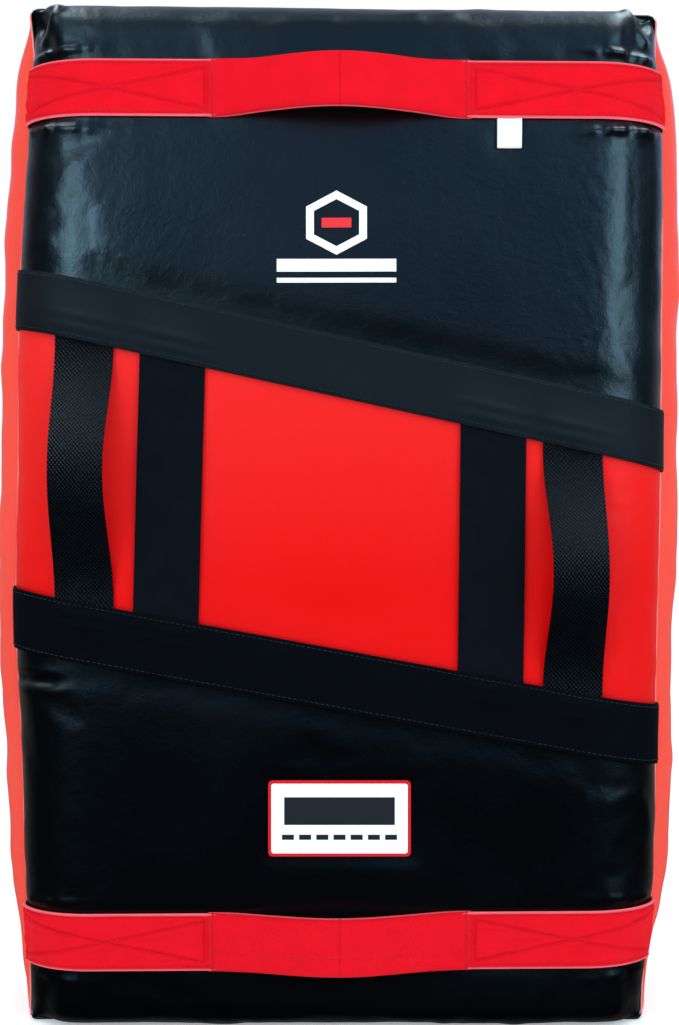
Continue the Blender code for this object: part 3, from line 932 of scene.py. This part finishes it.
def strip(name, material, body, rows, columns, place, thickness, width, edge_drop=0.35):
    """A woven strip. place(u, v) gives its underside and normal, u from 0 to 1 and v from -1 to 1.
    Its cloth attribute is the length travelled and the distance from its middle line."""
    builder = bmesh.new()
    cloth = builder.verts.layers.float_vector.new("cloth")
    rings = []
    travel = 0.0
    last = None
    for row in range(rows + 1):
        u = row / rows
        middle = place(u, 0.0)[0]
        travel += (middle - last).length if last else 0.0
        last = middle
        over, under = [], []
        for column in range(columns + 1):
            v = 2 * column / columns - 1
            point, normal = place(u, v)
            drop = edge_drop * abs(v) ** 14
            over.append((point + normal * thickness * (1 - drop * 0.5), v))
            under.append((point + normal * thickness * drop * 0.5, v))
        ring = []
        for point, v in over + under[::-1]:
            vert = builder.verts.new(point)
            vert[cloth] = (travel, v * width / 2, 0)
            ring.append(vert)
        rings.append(ring)
    bridge(builder, rings)
    if builder.calc_volume(signed=True) < 0:
        bmesh.ops.reverse_faces(builder, faces=builder.faces)
    piece = new_piece(name, builder, material, body)
    piece.data.set_sharp_from_angle(angle=1.0)
    return piece


def arch(part, standoff):
    """Height of a strap that is sewn flat at both ends and buckled up between them."""
    return standoff * (1 - cos(tau * clamp(part))) / 2


def free_span(x):
    """The heights where a strap at x comes out of the lower and goes under the upper band."""
    low, high = (BAND_HALF / cos(atan(BAND_SLOPE[name])) for name in ("lower", "upper"))
    return band_middle("lower", x) + low, band_middle("upper", x) - high


TUCK = 0.012
BAND_THICKNESS = 0.0018


def make_band(name, material, thread):
    """A cross band from side seam to side seam, raised where strap ends are tucked under it."""
    slope = BAND_SLOPE[name]
    tilt = cos(atan(slope))
    tucked = [(x, LOOP_WIDTH) for x in LOOP_X.values()]
    tucked += [(x, STRAP_WIDTH) for x in STRAP_X.values()]
    strap_side = -1 if name == "upper" else 1

    def place(u, v):
        side = 2 * u - 1
        end_z = band_middle(name, side * HALF_WIDTH) + v * BAND_HALF / tilt
        travel = side * (seam_travel(end_z) - 0.0006) + lean(end_z) * abs(side)
        x = back_sheet(travel, end_z, 0)[0].x
        z = band_middle(name, x) + v * BAND_HALF / tilt
        raised = max(bump_at(x - middle, width * 0.75) for middle, width in tucked)
        near_strap = smoothstep(-0.7, 0.5, v * strap_side)
        lift = 0.0006 + 0.0022 * raised * near_strap
        fold = bump_at(v * strap_side - 0.62, 0.16) + bump_at(v * strap_side - 0.22, 0.16)
        lift += 0.0006 * fold * raised
        lift += 0.0004 * waves(x / 0.03, v * 0.7, 40.0 + strap_side)
        near_seam = edge_fade(travel, z)
        return back_sheet(travel, z, lift * near_seam - 0.0012 * (1 - near_seam))

    width = 2 * BAND_HALF
    piece = strip(f"{name}_cross_band", material, "pad", 150, 22, place, BAND_THICKNESS, width)
    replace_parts(piece, f"{name}_cross_band")
    builder = bmesh.new()
    for v in (-0.88, 0.88):
        run = on_strip(place, BAND_THICKNESS, (0.01, v), (0.99, v), 240)
        sew(builder, run, *BAND_STITCH)
    new_piece(f"{name}_band_stitches", builder, thread, "pad")


# Arm loops and inner straps


def make_arm_loop(side, material):
    """A loose loop in two halves, each running from its own sewn end to the middle."""
    x = LOOP_X[side]
    low, high = free_span(x)
    clear_low = low + LOOP_WIDTH / 2 * BAND_SLOPE["lower"]
    clear_high = high - LOOP_WIDTH / 2 * BAND_SLOPE["upper"]
    middle = (clear_low + clear_high) / 2

    def place_from(z_from, z_to):
        def place(u, v):
            z = z_from + (z_to - z_from) * u
            part = (z - clear_low) / (clear_high - clear_low)
            height = arch(part, LOOP_STANDOFF)
            cup = 0.0010 * (1 - v * v) * smoothstep(0.0, 0.3, part) * smoothstep(1.0, 0.7, part)
            half = LOOP_WIDTH / 2 * (1 + LOOP_SPREAD * cos(tau * clamp(part)))
            point, normal = back_sheet(x + v * half, z, 0.0007)
            sway = 0.0012 * sin(pi * clamp(part)) * (-1 if side == "left" else 1)
            return point + Vector((sway, -height - cup, 0)), Vector((0, -1, 0))

        return place

    for end, z_from, start in (("bottom", low - TUCK, clear_low), ("top", high + TUCK, clear_high)):
        piece = strip(
            f"{side}_arm_loop_{end}_half", material, None, 46, 12,
            place_from(z_from, middle), WEBBING, LOOP_WIDTH,
        )
        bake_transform(piece)
        names = [f"{side}_arm_loop_{end}_tab"] + ([f"{side}_arm_loop"] if end == "top" else [])
        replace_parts(piece, *names)


STRAP_SLANT = {"left": 0.0045, "right": 0.0020}


def make_inner_strap(side, material):
    """A flat strap in two halves, each running from its own sewn end to the middle."""
    x = STRAP_X[side]
    low, high = free_span(x)
    middle = (low + high) / 2

    def place_from(z_from, z_to):
        def place(u, v):
            z = z_from + (z_to - z_from) * u
            part = clamp((z - low) / (high - low))
            shift = STRAP_SLANT[side] * (part - 0.5)
            lift = 0.0007 + 0.0010 * sin(pi * part)
            lift += 0.0003 * waves(z / 0.03, v, x * 40)
            return back_sheet(x + shift + v * STRAP_WIDTH / 2, z, lift)

        return place

    ends = (("bottom", low - TUCK, low + 0.006), ("top", high + TUCK, high - 0.006))
    for end, z_from, start in ends:
        piece = strip(
            f"{side}_inner_strap_{end}_half", material, None, 40, 12,
            place_from(z_from, middle), 0.0016, STRAP_WIDTH,
        )
        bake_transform(piece)
        names = [f"{side}_inner_strap_{end}_tab"] + ([f"{side}_inner_strap"] if end == "top" else [])
        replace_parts(piece, *names)


# Handles


def handle_height(end, x):
    return arch((x + HANDLE_HALF_SPAN) / (2 * HANDLE_HALF_SPAN), HANDLE_STANDOFF[end])


HANDLE_TAB_THICKNESS = 0.0021


def make_handle_tab(end, side, material, thread):
    """The sewn end of a handle, from the side seam to just inside the grip sleeve."""
    sign = -1 if side == "left" else 1
    inner = HANDLE_HALF_SPAN - 0.006
    length = seam_travel(HANDLE_Z[end]) - inner
    box_near, box_far = 0.030 + 0.0045 / length, 1 - 0.016 / length

    def to_line(u, v, first, last):
        """Distance across the cloth from a sewn line between two (u, v) places."""
        half = HANDLE_WIDTH / 2
        x, y = (u - first[0]) * length, (v - first[1]) * half
        run, rise = (last[0] - first[0]) * length, (last[1] - first[1]) * half
        part = clamp((x * run + y * rise) / (run * run + rise * rise))
        return sqrt((x - part * run) ** 2 + (y - part * rise) ** 2)

    sewn = [((box_near, -0.72), (box_far, 0.72)), ((box_near, 0.72), (box_far, -0.72))]
    sewn += [((u, -0.76), (u, 0.76)) for u in (box_near, box_far)]

    def place(u, v):
        end_z = handle_middle(end, sign * HALF_WIDTH) + v * HANDLE_WIDTH / 2
        outer = seam_travel(end_z) + sign * lean(end_z)
        travel = sign * (inner + (outer - inner) * u)
        z = handle_middle(end, travel) + v * HANDLE_WIDTH / 2
        ridge = 0.0007 * bump_at(abs(v) - 0.95, 0.07) - 0.0006 * bump_at(abs(v) - 0.86, 0.05)
        away = min(to_line(u, v, *line) for line in sewn)
        ridge += 0.0007 * bump_at(away - 0.0024, 0.0020) - 0.0012 * bump_at(away, 0.0015)
        wrinkle = 0.0009 * waves(travel / 0.014, v * 2.2, 50.0 + sign)
        wrinkle += 0.0007 * waves(travel / 0.030, v * 5.0, 54.0 + sign)
        wrinkle *= smoothstep(1.0, 0.7, abs(v))
        near_seam = edge_fade(travel, z)
        lift = (0.0007 + ridge + wrinkle) * near_seam - 0.0008 * (1 - near_seam)
        point, normal = back_sheet(travel, z, lift)
        return point + Vector((0, -handle_height(end, point.x), 0)), normal

    thick = HANDLE_TAB_THICKNESS
    piece = strip(f"{end}_handle_{side}_tab", material, "pad", 150, 44, place, thick, HANDLE_WIDTH)
    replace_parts(piece, f"{end}_handle_{side}_tab")
    first, last = 0.0015 / length + 0.035, 1 - 0.004 / length
    builder = bmesh.new()
    for line in [((first, v), (last, v)) for v in (-0.86, 0.86)] + sewn:
        sew(builder, on_strip(place, thick, *line, 120), *BOX_STITCH)
    new_piece(f"{end}_handle_{side}_stitches", builder, thread, "pad")


# Half height of each grip at its middle, and half thickness there and at its ends
SLEEVE_HALF = {"top": 0.0172, "bottom": 0.0185}
SLEEVE_FULL = 0.0062
SLEEVE_FLAT = 0.0022


def sleeve_frame(end, x):
    """Middle height, half height and half thickness of a grip at x."""
    reach = clamp((HANDLE_HALF_SPAN - abs(x)) / HANDLE_HALF_SPAN)
    full = smoothstep(0.0, 0.22, reach)
    narrowing = (SLEEVE_HALF[end] - HANDLE_WIDTH / 2) * smoothstep(0.0, 0.45, reach)
    half = HANDLE_WIDTH / 2 + 0.0006 + narrowing
    return handle_height(end, x), half, SLEEVE_FLAT + (SLEEVE_FULL - SLEEVE_FLAT) * full


def sleeve_point(end, x, turn, proud=0.0):
    """A point round the grip sleeve: turn 0 is outwards, a quarter turn is up."""
    height, half, thick = sleeve_frame(end, x)
    c, s = cos(turn), sin(turn)
    square = (abs(c) ** 2.6 + abs(s) ** 3.6) ** (1 / 3.1)
    wrinkle = 0.0004 * waves(x / 0.018, c * 1.4, s * 1.4 + 60.0)
    dent = 0.0
    if end == "bottom":
        dent = 0.0005 * bump_at(s + 0.28, 0.05) * (c > 0)
    out = (c / square) * (thick + wrinkle + proud) - dent
    up = (s / square) * (half + proud)
    z = handle_middle(end, x) + up
    return Vector((x, BACK_Y - 0.0017 - height - out, z))


def on_sleeve(end, x, turn):
    """A point on the grip sleeve with its outward direction."""
    point = sleeve_point(end, x, turn)
    return point, (sleeve_point(end, x, turn, 0.001) - point).normalized()


LOW_SEAM_TURN = -0.29


def make_sleeve(end, material, thread):
    """The padded sleeve round a handle's middle, in two halves."""
    steps, around = 44, 40
    for side, sign in (("left", -1), ("right", 1)):
        builder = bmesh.new()
        cloth = builder.verts.layers.float_vector.new("cloth")
        rings = []
        for step in range(steps + 1):
            x = sign * (HANDLE_HALF_SPAN + 0.001) * (1 - step / steps)
            ring = []
            for k in range(around):
                turn = tau * k / around
                vert = builder.verts.new(sleeve_point(end, x, turn))
                vert[cloth] = (x, sin(turn) * HANDLE_WIDTH * 0.488, 0)
                ring.append(vert)
            rings.append(ring)
        bridge(builder, rings, capped=False)
        bmesh.ops.recalc_face_normals(builder, faces=builder.faces)
        piece = new_piece(f"{end}_grip_{side}_half", builder, material, None)
        add_modifier(piece, "SOLIDIFY", thickness=0.0008, offset=-1.0)
        apply_modifiers(piece)
        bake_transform(piece)
        builder = bmesh.new()
        zigzag = []
        for k in range(25):
            x = sign * (HANDLE_HALF_SPAN - 0.0022 + (0.0013 if k % 2 else -0.0013))
            zigzag.append(on_sleeve(end, x, -1.25 + 2.5 * k / 24))
        for first, last in zip(zigzag, zigzag[1:]):
            sew(builder, [first, last], *ZIGZAG_STITCH)
        if end == "bottom":
            reach = sign * (HANDLE_HALF_SPAN - 0.005)
            run = [on_sleeve(end, reach * (1 - k / 80), LOW_SEAM_TURN) for k in range(81)]
            sew(builder, run, *GRIP_STITCH)
        stitches = new_piece(f"{end}_grip_{side}_stitches", builder, thread, None)
        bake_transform(stitches)
        if side == "left":
            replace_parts(piece, f"{end}_grip_sleeve")


# Sewing thread


def add_stitch(builder, start, stop, start_normal, stop_normal, radius):
    """One stitch: a short rounded thread that dips into the cloth at both ends."""
    along = stop - start
    if along.length < 1e-6:
        return
    rings = []
    for part, size, rise in ((0.0, 0.35, -0.6), (0.22, 1.0, 0.35), (0.78, 1.0, 0.35), (1.0, 0.35, -0.6)):
        normal = (start_normal * (1 - part) + stop_normal * part).normalized()
        across = along.cross(normal).normalized()
        centre = start + along * part + normal * radius * rise
        ring = []
        for k in range(6):
            turn = -tau * k / 6
            out = across * cos(turn) + normal * sin(turn)
            ring.append(builder.verts.new(centre + out * radius * size))
        rings.append(ring)
    bridge(builder, rings)


def sew(builder, path, length, gap, radius):
    """Stitches along a path of (point, normal) pairs."""
    reach = [0.0]
    for (first, _), (second, _) in zip(path, path[1:]):
        reach.append(reach[-1] + (second - first).length)

    def at(distance):
        k = min(max(1, int(np.searchsorted(reach, distance))), len(reach) - 1)
        part = (distance - reach[k - 1]) / max(1e-9, reach[k] - reach[k - 1])
        point = path[k - 1][0].lerp(path[k][0], part)
        return point, path[k - 1][1].lerp(path[k][1], part).normalized()

    pitch = length + gap
    count = max(1, round(reach[-1] / pitch))
    pitch = reach[-1] / count
    for k in range(count):
        start, start_normal = at(pitch * k + gap / 2)
        stop, stop_normal = at(pitch * (k + 1) - gap / 2)
        add_stitch(builder, start, stop, start_normal, stop_normal, radius)


def on_strip(place, thickness, first, last, samples):
    """A straight run over a strip's outer side between two (u, v) places."""
    path = []
    for k in range(samples + 1):
        part = k / samples
        u = first[0] + (last[0] - first[0]) * part
        v = first[1] + (last[1] - first[1]) * part
        point, normal = place(u, v)
        path.append((point + normal * thickness, normal))
    return path


# Print, badge and tag: thin shapes that follow the finished cover


def on_cover(surface, x, z, lift):
    """The point in front of the finished back panels at an X and Z."""
    hit = surface.ray_cast(Vector((x, BACK_Y - 0.05, z)), Vector((0, 1, 0)))[0]
    return Vector((x, (hit.y if hit else BACK_Y) - lift, z))


SHAPE_CELL = 0.003


def applied_shape(name, surface, polygons, material, lift, thickness):
    """Flat convex polygons in X and Z, cut into small cells and laid on the cover."""
    builder = bmesh.new()
    for polygon in polygons:
        builder.faces.new([builder.verts.new((x, 0, z)) for x, z in polygon])
    bmesh.ops.remove_doubles(builder, verts=builder.verts, dist=1e-6)
    for index, axis in enumerate((Vector((1, 0, 0)), Vector((0, 0, 1)))):
        reach = [corner[index] for polygon in polygons for corner in polygon]
        for k in range(1, int((max(reach) - min(reach)) / SHAPE_CELL) + 1):
            geometry = builder.verts[:] + builder.edges[:] + builder.faces[:]
            at = axis * (min(reach) + SHAPE_CELL * k)
            bmesh.ops.bisect_plane(builder, geom=geometry, dist=1e-7, plane_co=at, plane_no=axis)
    for vert in builder.verts:
        vert.co = on_cover(surface, vert.co.x, vert.co.z, lift)
    bmesh.ops.recalc_face_normals(builder, faces=builder.faces)
    if sum(face.normal.y for face in builder.faces) > 0:
        bmesh.ops.reverse_faces(builder, faces=builder.faces)
    piece = new_piece(name, builder, material, "pad", smooth=False)
    add_modifier(piece, "SOLIDIFY", thickness=thickness, offset=1.0)
    return piece


def rectangle(x, z, width, height):
    return [
        (x - width / 2, z - height / 2), (x + width / 2, z - height / 2),
        (x + width / 2, z + height / 2), (x - width / 2, z + height / 2),
    ]


def rounded_rectangle(x, z, width, height, radius, steps=5):
    points = []
    for corner, (sx, sz) in enumerate(((1, -1), (1, 1), (-1, 1), (-1, -1))):
        for k in range(steps + 1):
            turn = pi / 2 * (corner - 1 + k / steps)
            points.append((
                x + sx * (width / 2 - radius) + radius * cos(turn),
                z + sz * (height / 2 - radius) + radius * sin(turn),
            ))
    return points


PRINT_X, PRINT_Z = -0.002, 0.534


def make_print(surface, white, red):
    """A generic printed mark: a hexagon outline with a bar in it and two lines under it."""
    middle_z = PRINT_Z + 0.010
    outer, inner = [], []
    for k in range(6):
        turn = pi / 6 + pi / 3 * k
        outer.append((PRINT_X + 0.0235 * cos(turn), middle_z + 0.0215 * sin(turn)))
        inner.append((PRINT_X + 0.0175 * cos(turn), middle_z + 0.0158 * sin(turn)))
    ring = [
        [outer[k], outer[(k + 1) % 6], inner[(k + 1) % 6], inner[k]] for k in range(6)
    ]
    applied_shape("printed_outline", surface, ring, white, *PANEL_PRINT)
    bar = [rectangle(PRINT_X, middle_z, 0.020, 0.0065)]
    applied_shape("printed_bar", surface, bar, red, *PANEL_PRINT)
    lines = [
        rectangle(PRINT_X, PRINT_Z - 0.0185, 0.080, 0.0085),
        rectangle(PRINT_X, PRINT_Z - 0.0285, 0.080, 0.0032),
    ]
    applied_shape("printed_lines", surface, lines, white, *PANEL_PRINT)


def make_badge(surface, white, red, black, thread):
    """A sewn patch with a plain red border and generic bars."""
    width, height = BADGE_SIZE
    base = [rounded_rectangle(0, BADGE_Z, width, height, 0.0030)]
    piece = applied_shape("badge_border_band", surface, base, red, *BADGE_BASE)
    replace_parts(piece, "badge_border")
    inner = 2 * BADGE_BORDER
    field = [rounded_rectangle(0, BADGE_Z, width - inner, height - inner, 0.0016)]
    piece = applied_shape("badge_field", surface, field, white, *BADGE_FIELD)
    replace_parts(piece, "badge_patch")
    bar = [rectangle(0, BADGE_Z + 0.0050, 0.074, 0.0185)]
    applied_shape("badge_bar", surface, bar, black, *BADGE_PRINT)
    dashes = [rectangle(-0.0345 + 0.0115 * k, BADGE_Z - 0.0125, 0.0080, 0.0034) for k in range(7)]
    applied_shape("badge_dashes", surface, dashes, black, *BADGE_PRINT)
    outline = rounded_rectangle(0, BADGE_Z, width - BADGE_BORDER, height - BADGE_BORDER, 0.0022)
    path = []
    for first, last in zip(outline, outline[1:] + outline[:1]):
        steps = max(1, int(sqrt((last[0] - first[0]) ** 2 + (last[1] - first[1]) ** 2) / 0.001))
        for k in range(steps):
            x = first[0] + (last[0] - first[0]) * k / steps
            z = first[1] + (last[1] - first[1]) * k / steps
            path.append((on_cover(surface, x, z, 0.0015), Vector((0, -1, 0))))
    path.append(path[0])
    builder = bmesh.new()
    sew(builder, path, *BADGE_STITCH)
    new_piece("badge_stitches", builder, thread, "pad")


def make_tag(material):
    """A woven tape folded at its lower end, both ends sewn in under the handle."""
    fold = 0.0009

    def place(u, v):
        x = TAG_X + v * TAG_WIDTH / 2
        travel = u * (2 * TAG_DROP + pi * fold)
        curl = 0.0006 * v * v
        if travel < TAG_DROP:
            part = travel / TAG_DROP
            y = BACK_Y - 0.0003 - 0.0004 * part - curl
            return Vector((x, y, TAG_TOP - travel)), Vector((0, 1, 0))
        if travel < TAG_DROP + pi * fold:
            turn = (travel - TAG_DROP) / fold
            back = BACK_Y - 0.0007 - curl
            point = Vector((x, back - fold * (1 - cos(turn)), TAG_TOP - TAG_DROP - fold * sin(turn)))
            return point, Vector((0, cos(turn), -sin(turn)))
        rise = travel - TAG_DROP - pi * fold
        part = rise / TAG_DROP
        y = BACK_Y - 0.0007 - 2 * fold * (1 - 0.6 * part) - curl - 0.0006 * sin(pi * part)
        return Vector((x + 0.0003 * part, y, TAG_TOP - TAG_DROP + rise)), Vector((0, -1, 0))

    piece = strip("folded_tag_tape", material, None, 54, 10, place, 0.00035, TAG_WIDTH, 0.2)
    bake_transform(piece)
    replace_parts(piece, "folded_tag")


# Foam core and backings inside the cover


def foam_sheet(node, profile, material):
    """One sheet of the laminated core: outlines at several depths, each with its own insets."""
    builder = bmesh.new()
    rings = []
    steps, corner = 26, 0.012
    for y, inset, end_inset in profile:
        low, high = end_inset, HEIGHT - end_inset
        ring = []
        for side in (1, -1):
            for k in range(steps + 1):
                part = k / steps if side > 0 else 1 - k / steps
                z = low + (high - low) * part
                near = min(z - low, high - z)
                cut = corner * (1 - sqrt(max(0.0, 1 - (1 - min(1.0, near / corner)) ** 2)))
                x = half_width(z) - seam_inset(z) - inset - cut
                ring.append(builder.verts.new((lean(z) + side * x, y, z)))
        rings.append(ring)
    bridge(builder, rings)
    bmesh.ops.recalc_face_normals(builder, faces=builder.faces)
    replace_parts(new_piece(f"{node}_block", builder, material, "pad", smooth=False), node)


def make_foam(core, strike):
    """Five sheets, glued face to face, with bevelled edges on the two outer ones."""
    joint = 0.00015
    back = BACK_Y + 0.0075
    front = STRIKE_Y - 0.0060
    cuts = [-0.0375, -0.0125, 0.0125, 0.0375]
    slope = [(back, 0.038, 0.030), (back + 0.007, 0.024, 0.022), (cuts[0] - joint, 0.014, 0.014)]
    foam_sheet("foam_sheet_back", slope, core)
    margins = (0.012, 0.004, 0.002, 0.002)
    for number, (near, far) in enumerate(zip(cuts, cuts[1:])):
        ends = [(near + joint, margins[number], 0.010), (far - joint, margins[number + 1], 0.010)]
        foam_sheet(f"foam_sheet_{number + 2}", ends, core)
    slope = [(cuts[3] + joint, 0.003, 0.010), (front - 0.008, 0.004, 0.012), (front, 0.016, 0.026)]
    foam_sheet("foam_sheet_strike", slope, strike)


def make_backings(material):
    """The hidden webbing strip behind each handle that its box stitches go through."""
    for end in ("top", "bottom"):
        z = HANDLE_Z[end]

        def place(u, v):
            return Vector((-0.158 + 0.316 * u, BACK_Y + 0.0052, z + v * 0.0205)), Vector((0, -1, 0))

        piece = strip(f"{end}_handle_backing_strip", material, "pad", 40, 10, place, 0.0012, 0.041)
        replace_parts(piece, f"{end}_handle_backing")


# Camera, light and surroundings


VIEW_DISTANCE = 1.0
VIEW_HEIGHT = 0.68675
VIEW_MIDDLE_Z = 0.350


def make_camera():
    """Level and square-on to the back panel; the view's long side is VIEW_HEIGHT there."""
    data = bpy.data.cameras.new("camera")
    camera = bpy.data.objects.new("camera", data)
    bpy.context.scene.collection.objects.link(camera)
    data.sensor_width = 36.0
    data.lens = 36.0 * VIEW_DISTANCE / VIEW_HEIGHT
    camera.location = (0, BACK_Y - VIEW_DISTANCE, VIEW_MIDDLE_Z)
    camera.rotation_euler = (pi / 2, 0, 0)
    bpy.context.scene.camera = camera


def area_light(name, location, target, size, power, colour=(1, 1, 1)):
    data = bpy.data.lights.new(name, "AREA")
    data.shape = "RECTANGLE"
    data.size, data.size_y = size
    data.energy = power
    data.color = colour
    light = bpy.data.objects.new(name, data)
    light.location = location
    direction = Vector(target) - Vector(location)
    light.rotation_euler = direction.to_track_quat("-Z", "Y").to_euler()
    bpy.context.scene.collection.objects.link(light)
    return light


def make_world():
    """A white studio. What glossy surfaces see is separate: dark low down and far to the sides,
    blue-grey a little above level behind the camera, two bright lamps high up to the left and
    right, and white behind the pad."""
    world = bpy.data.worlds.new("studio")
    world.use_nodes = True
    bpy.context.scene.world = world
    world.node_tree.nodes.clear()
    make = node_maker(world)
    path = make("ShaderNodeLightPath").outputs
    toward = make("ShaderNodeTexCoord").outputs["Generated"]
    axes = make("ShaderNodeSeparateXYZ", {"Vector": toward}).outputs

    def fade(axis, *limits):
        return ramp(make, axes[axis], *limits, interpolation_type="SMOOTHSTEP")

    def product(first, second):
        return calculate(make, "MULTIPLY", first, second)

    def glow(colour, strength):
        inputs = {"Color": (*colour, 1), "Strength": strength}
        return make("ShaderNodeBackground", inputs).outputs["Background"]

    def join(kind, inputs):
        return make(kind, inputs).outputs["Shader"]

    height = product(fade("Z", 0.02, 0.22, 0.0, 1.0), fade("Z", 0.28, 0.70, 1.0, 0.35))
    right, left = fade("X", -0.05, 0.30, 0.50, 0.95), fade("X", -0.30, 0.0, 0.25, 0.0)
    aside = product(fade("X", -0.80, -0.35, 0.10, 1.0), fade("X", 0.45, 0.90, 1.0, 0.25))
    front = product(height, product(calculate(make, "ADD", right, left), aside))
    left, right = fade("X", -0.40, -0.15, 1.0, 0.0), fade("X", 0.15, 0.40, 0.0, 1.0)
    above = product(fade("Z", 0.66, 0.82, 0.0, 8.0), calculate(make, "MAXIMUM", left, right))
    behind = product(fade("Y", 0.0, 0.7, 0.0, 0.35), fade("Z", -0.5, 0.1, 0.3, 1.0))
    white = (1, 1, 1)
    gloss = join("ShaderNodeAddShader", {0: glow((0.30, 0.72, 1.36), front), 1: glow(white, behind)})
    gloss = join("ShaderNodeAddShader", {0: gloss, 1: glow((0.72, 0.94, 1.0), above)})
    lit = {0: path["Is Glossy Ray"], 1: glow(white, 0.72), 2: gloss}
    seen = {0: path["Is Camera Ray"], 1: join("ShaderNodeMixShader", lit), 2: glow(white, 1.02)}
    make("ShaderNodeOutputWorld", {"Surface": join("ShaderNodeMixShader", seen)})


def make_floor():
    """A plain pale floor, kept out of the vinyl's reflections."""
    builder = bmesh.new()
    bmesh.ops.create_grid(builder, x_segments=2, y_segments=2, size=6.0)
    material, make, surface = finish("studio_floor")
    surface(
        Base_Color=(0.93, 0.93, 0.93, 1), Roughness=0.9, Emission_Color=(1, 1, 1, 1),
        Emission_Strength=0.34,
    )
    floor_piece = new_piece("studio_floor", builder, material, None)
    floor_piece.visible_glossy = False


def make_lights():
    """A cool softbox at each side, for the highlights, and a soft white one overhead."""
    tint = (0.43, 0.80, 1.0)
    area_light("left_softbox", (-0.92, -1.40, 0.84), (-0.18, 0, 0.5), (0.55, 0.62), 8.5, tint)
    area_light("right_softbox", (1.15, -1.15, 0.78), (0.19, 0, 0.5), (0.85, 0.80), 10.0, tint)
    overhead = area_light("top_softbox", (0.0, -1.3, 2.3), (0, 0, 0.5), (1.8, 0.8), 12)
    overhead.visible_glossy = False


def make_pad(webbing):
    """The cover, what it holds, and what is printed and sewn on it."""
    black = vinyl("black_vinyl", (0.0006, 0.0011, 0.0018), (0.0011, 0.0018, 0.0028), 0.29, 0.5)
    # The lower back panel's black is a darker copy of the upper one: painted shade, as its reflections
    # see little light.
    shaded_black = vinyl("painted_shade_black_vinyl", (0.0003, 0.0006, 0.0010), (0.0007, 0.0012, 0.0018), 0.30, 0.28)
    # The centre panel's red is painted darker toward its lower edge: painted shade.
    red = vinyl(
        "red_vinyl", (0.82, 0.0190, 0.0165), (0.78, 0.0160, 0.0140), 0.42, 0.10,
        low=(0.71, 0.0008, 0.0008),
    )
    # The gussets' red is the same vinyl painted paler and more orange: painted sheen, standing in for the
    # grazing light they catch.
    side = vinyl("painted_sheen_red_vinyl", (0.90, 0.085, 0.055), (0.86, 0.055, 0.035), 0.38, 0.18)
    # The gusset seam rolls are red painted pale: a painted highlight along the turned edge.
    edge = vinyl("painted_highlight_red_vinyl", (0.92, 0.30, 0.26), (0.88, 0.18, 0.15), 0.34, 0.4)
    surface = make_cover(black, shaded_black, red, side, edge)
    core_foam = plain("core_foam", (0.42, 0.42, 0.40), 0.95, 0.1, 0.25, 500.0)
    make_foam(core_foam, plain("strike_foam", (0.05, 0.05, 0.055), 0.95, 0.1, 0.25, 500.0))
    make_backings(webbing)
    white = plain("white_print", (0.88, 0.90, 0.92), 0.45)
    make_print(surface, white, plain("red_print", (0.80, 0.020, 0.025), 0.45))
    patch = plain("white_patch", (0.93, 0.93, 0.93), 0.55)
    ink = plain("black_ink", (0.012, 0.012, 0.016), 0.50)
    border = woven(
        "red_border", (0.80, 0.012, 0.020), (0.60, 0.006, 0.012), (0.0009, 0.0009), depth=0.0001
    )
    red_thread = plain("red_thread", (0.44, 0.004, 0.012), 0.60)
    make_badge(surface, patch, border, ink, red_thread)
    make_tag(woven(
        "white_tag", (0.84, 0.84, 0.83), (0.70, 0.70, 0.70), (0.0008, 0.0007), depth=0.00005
    ))
    return core_foam, red_thread


def make_straps(webbing):
    """The bands, with the arm loops and inner straps that they hold."""
    band = woven(
        "black_band", (0.0024, 0.0036, 0.0072), (0.0010, 0.0016, 0.0034), (0.0011, 0.0011),
        depth=0.0001, roughness=0.6, gloss=0.26,
    )
    # The lower band is a darker copy of the upper band's webbing: painted shade.
    shaded_band = woven(
        "painted_shade_black_band", (0.0012, 0.0018, 0.0040), (0.0005, 0.0008, 0.0018), (0.0011, 0.0011),
        depth=0.0001, roughness=0.7, gloss=0.07,
    )
    knit = woven(
        "black_knit", (0.0030, 0.0046, 0.0088), (0.0013, 0.0020, 0.0040), (0.0012, 0.0016),
        depth=0.00015, gloss=0.08,
    )
    black_thread = plain("black_thread", (0.006, 0.008, 0.013), 0.60)
    make_band("upper", band, black_thread)
    # The lower band wears the darker webbing: painted shade.
    make_band("lower", shaded_band, black_thread)
    for side in ("left", "right"):
        make_arm_loop(side, webbing)
        make_inner_strap(side, knit)


def make_handles(core_foam, thread):
    """The two handles, and the looks of what is inside their grips."""
    # The handle webbing's edges are painted paler: a painted highlight.
    webbing = woven(
        "red_webbing", (0.84, 0.0035, 0.0150), (0.66, 0.0015, 0.0080), (0.0016, 0.0014),
        depth=0.0002, gloss=0.12, edge_highlight=(0.0174, 0.0188, (0.92, 0.16, 0.19)),
    )
    for end in ("top", "bottom"):
        for side in ("left", "right"):
            make_handle_tab(end, side, webbing, thread)
        make_sleeve(end, webbing, thread)
        for part, material in (("grip_foam", core_foam), ("grip_webbing", webbing)):
            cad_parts[f"{end}_{part}"].data.materials[0] = material


def main():
    bpy.context.scene.view_settings.view_transform = "Standard"
    make_camera()
    make_world()
    make_floor()
    make_lights()
    webbing = woven(
        "black_webbing", (0.0026, 0.0038, 0.0070), (0.0002, 0.0003, 0.0006), (0.0031, 0.0027),
        depth=0.0009, roughness=0.42, gloss=0.13,
    )
    core_foam, red_thread = make_pad(webbing)
    make_straps(webbing)
    make_handles(core_foam, red_thread)


main()
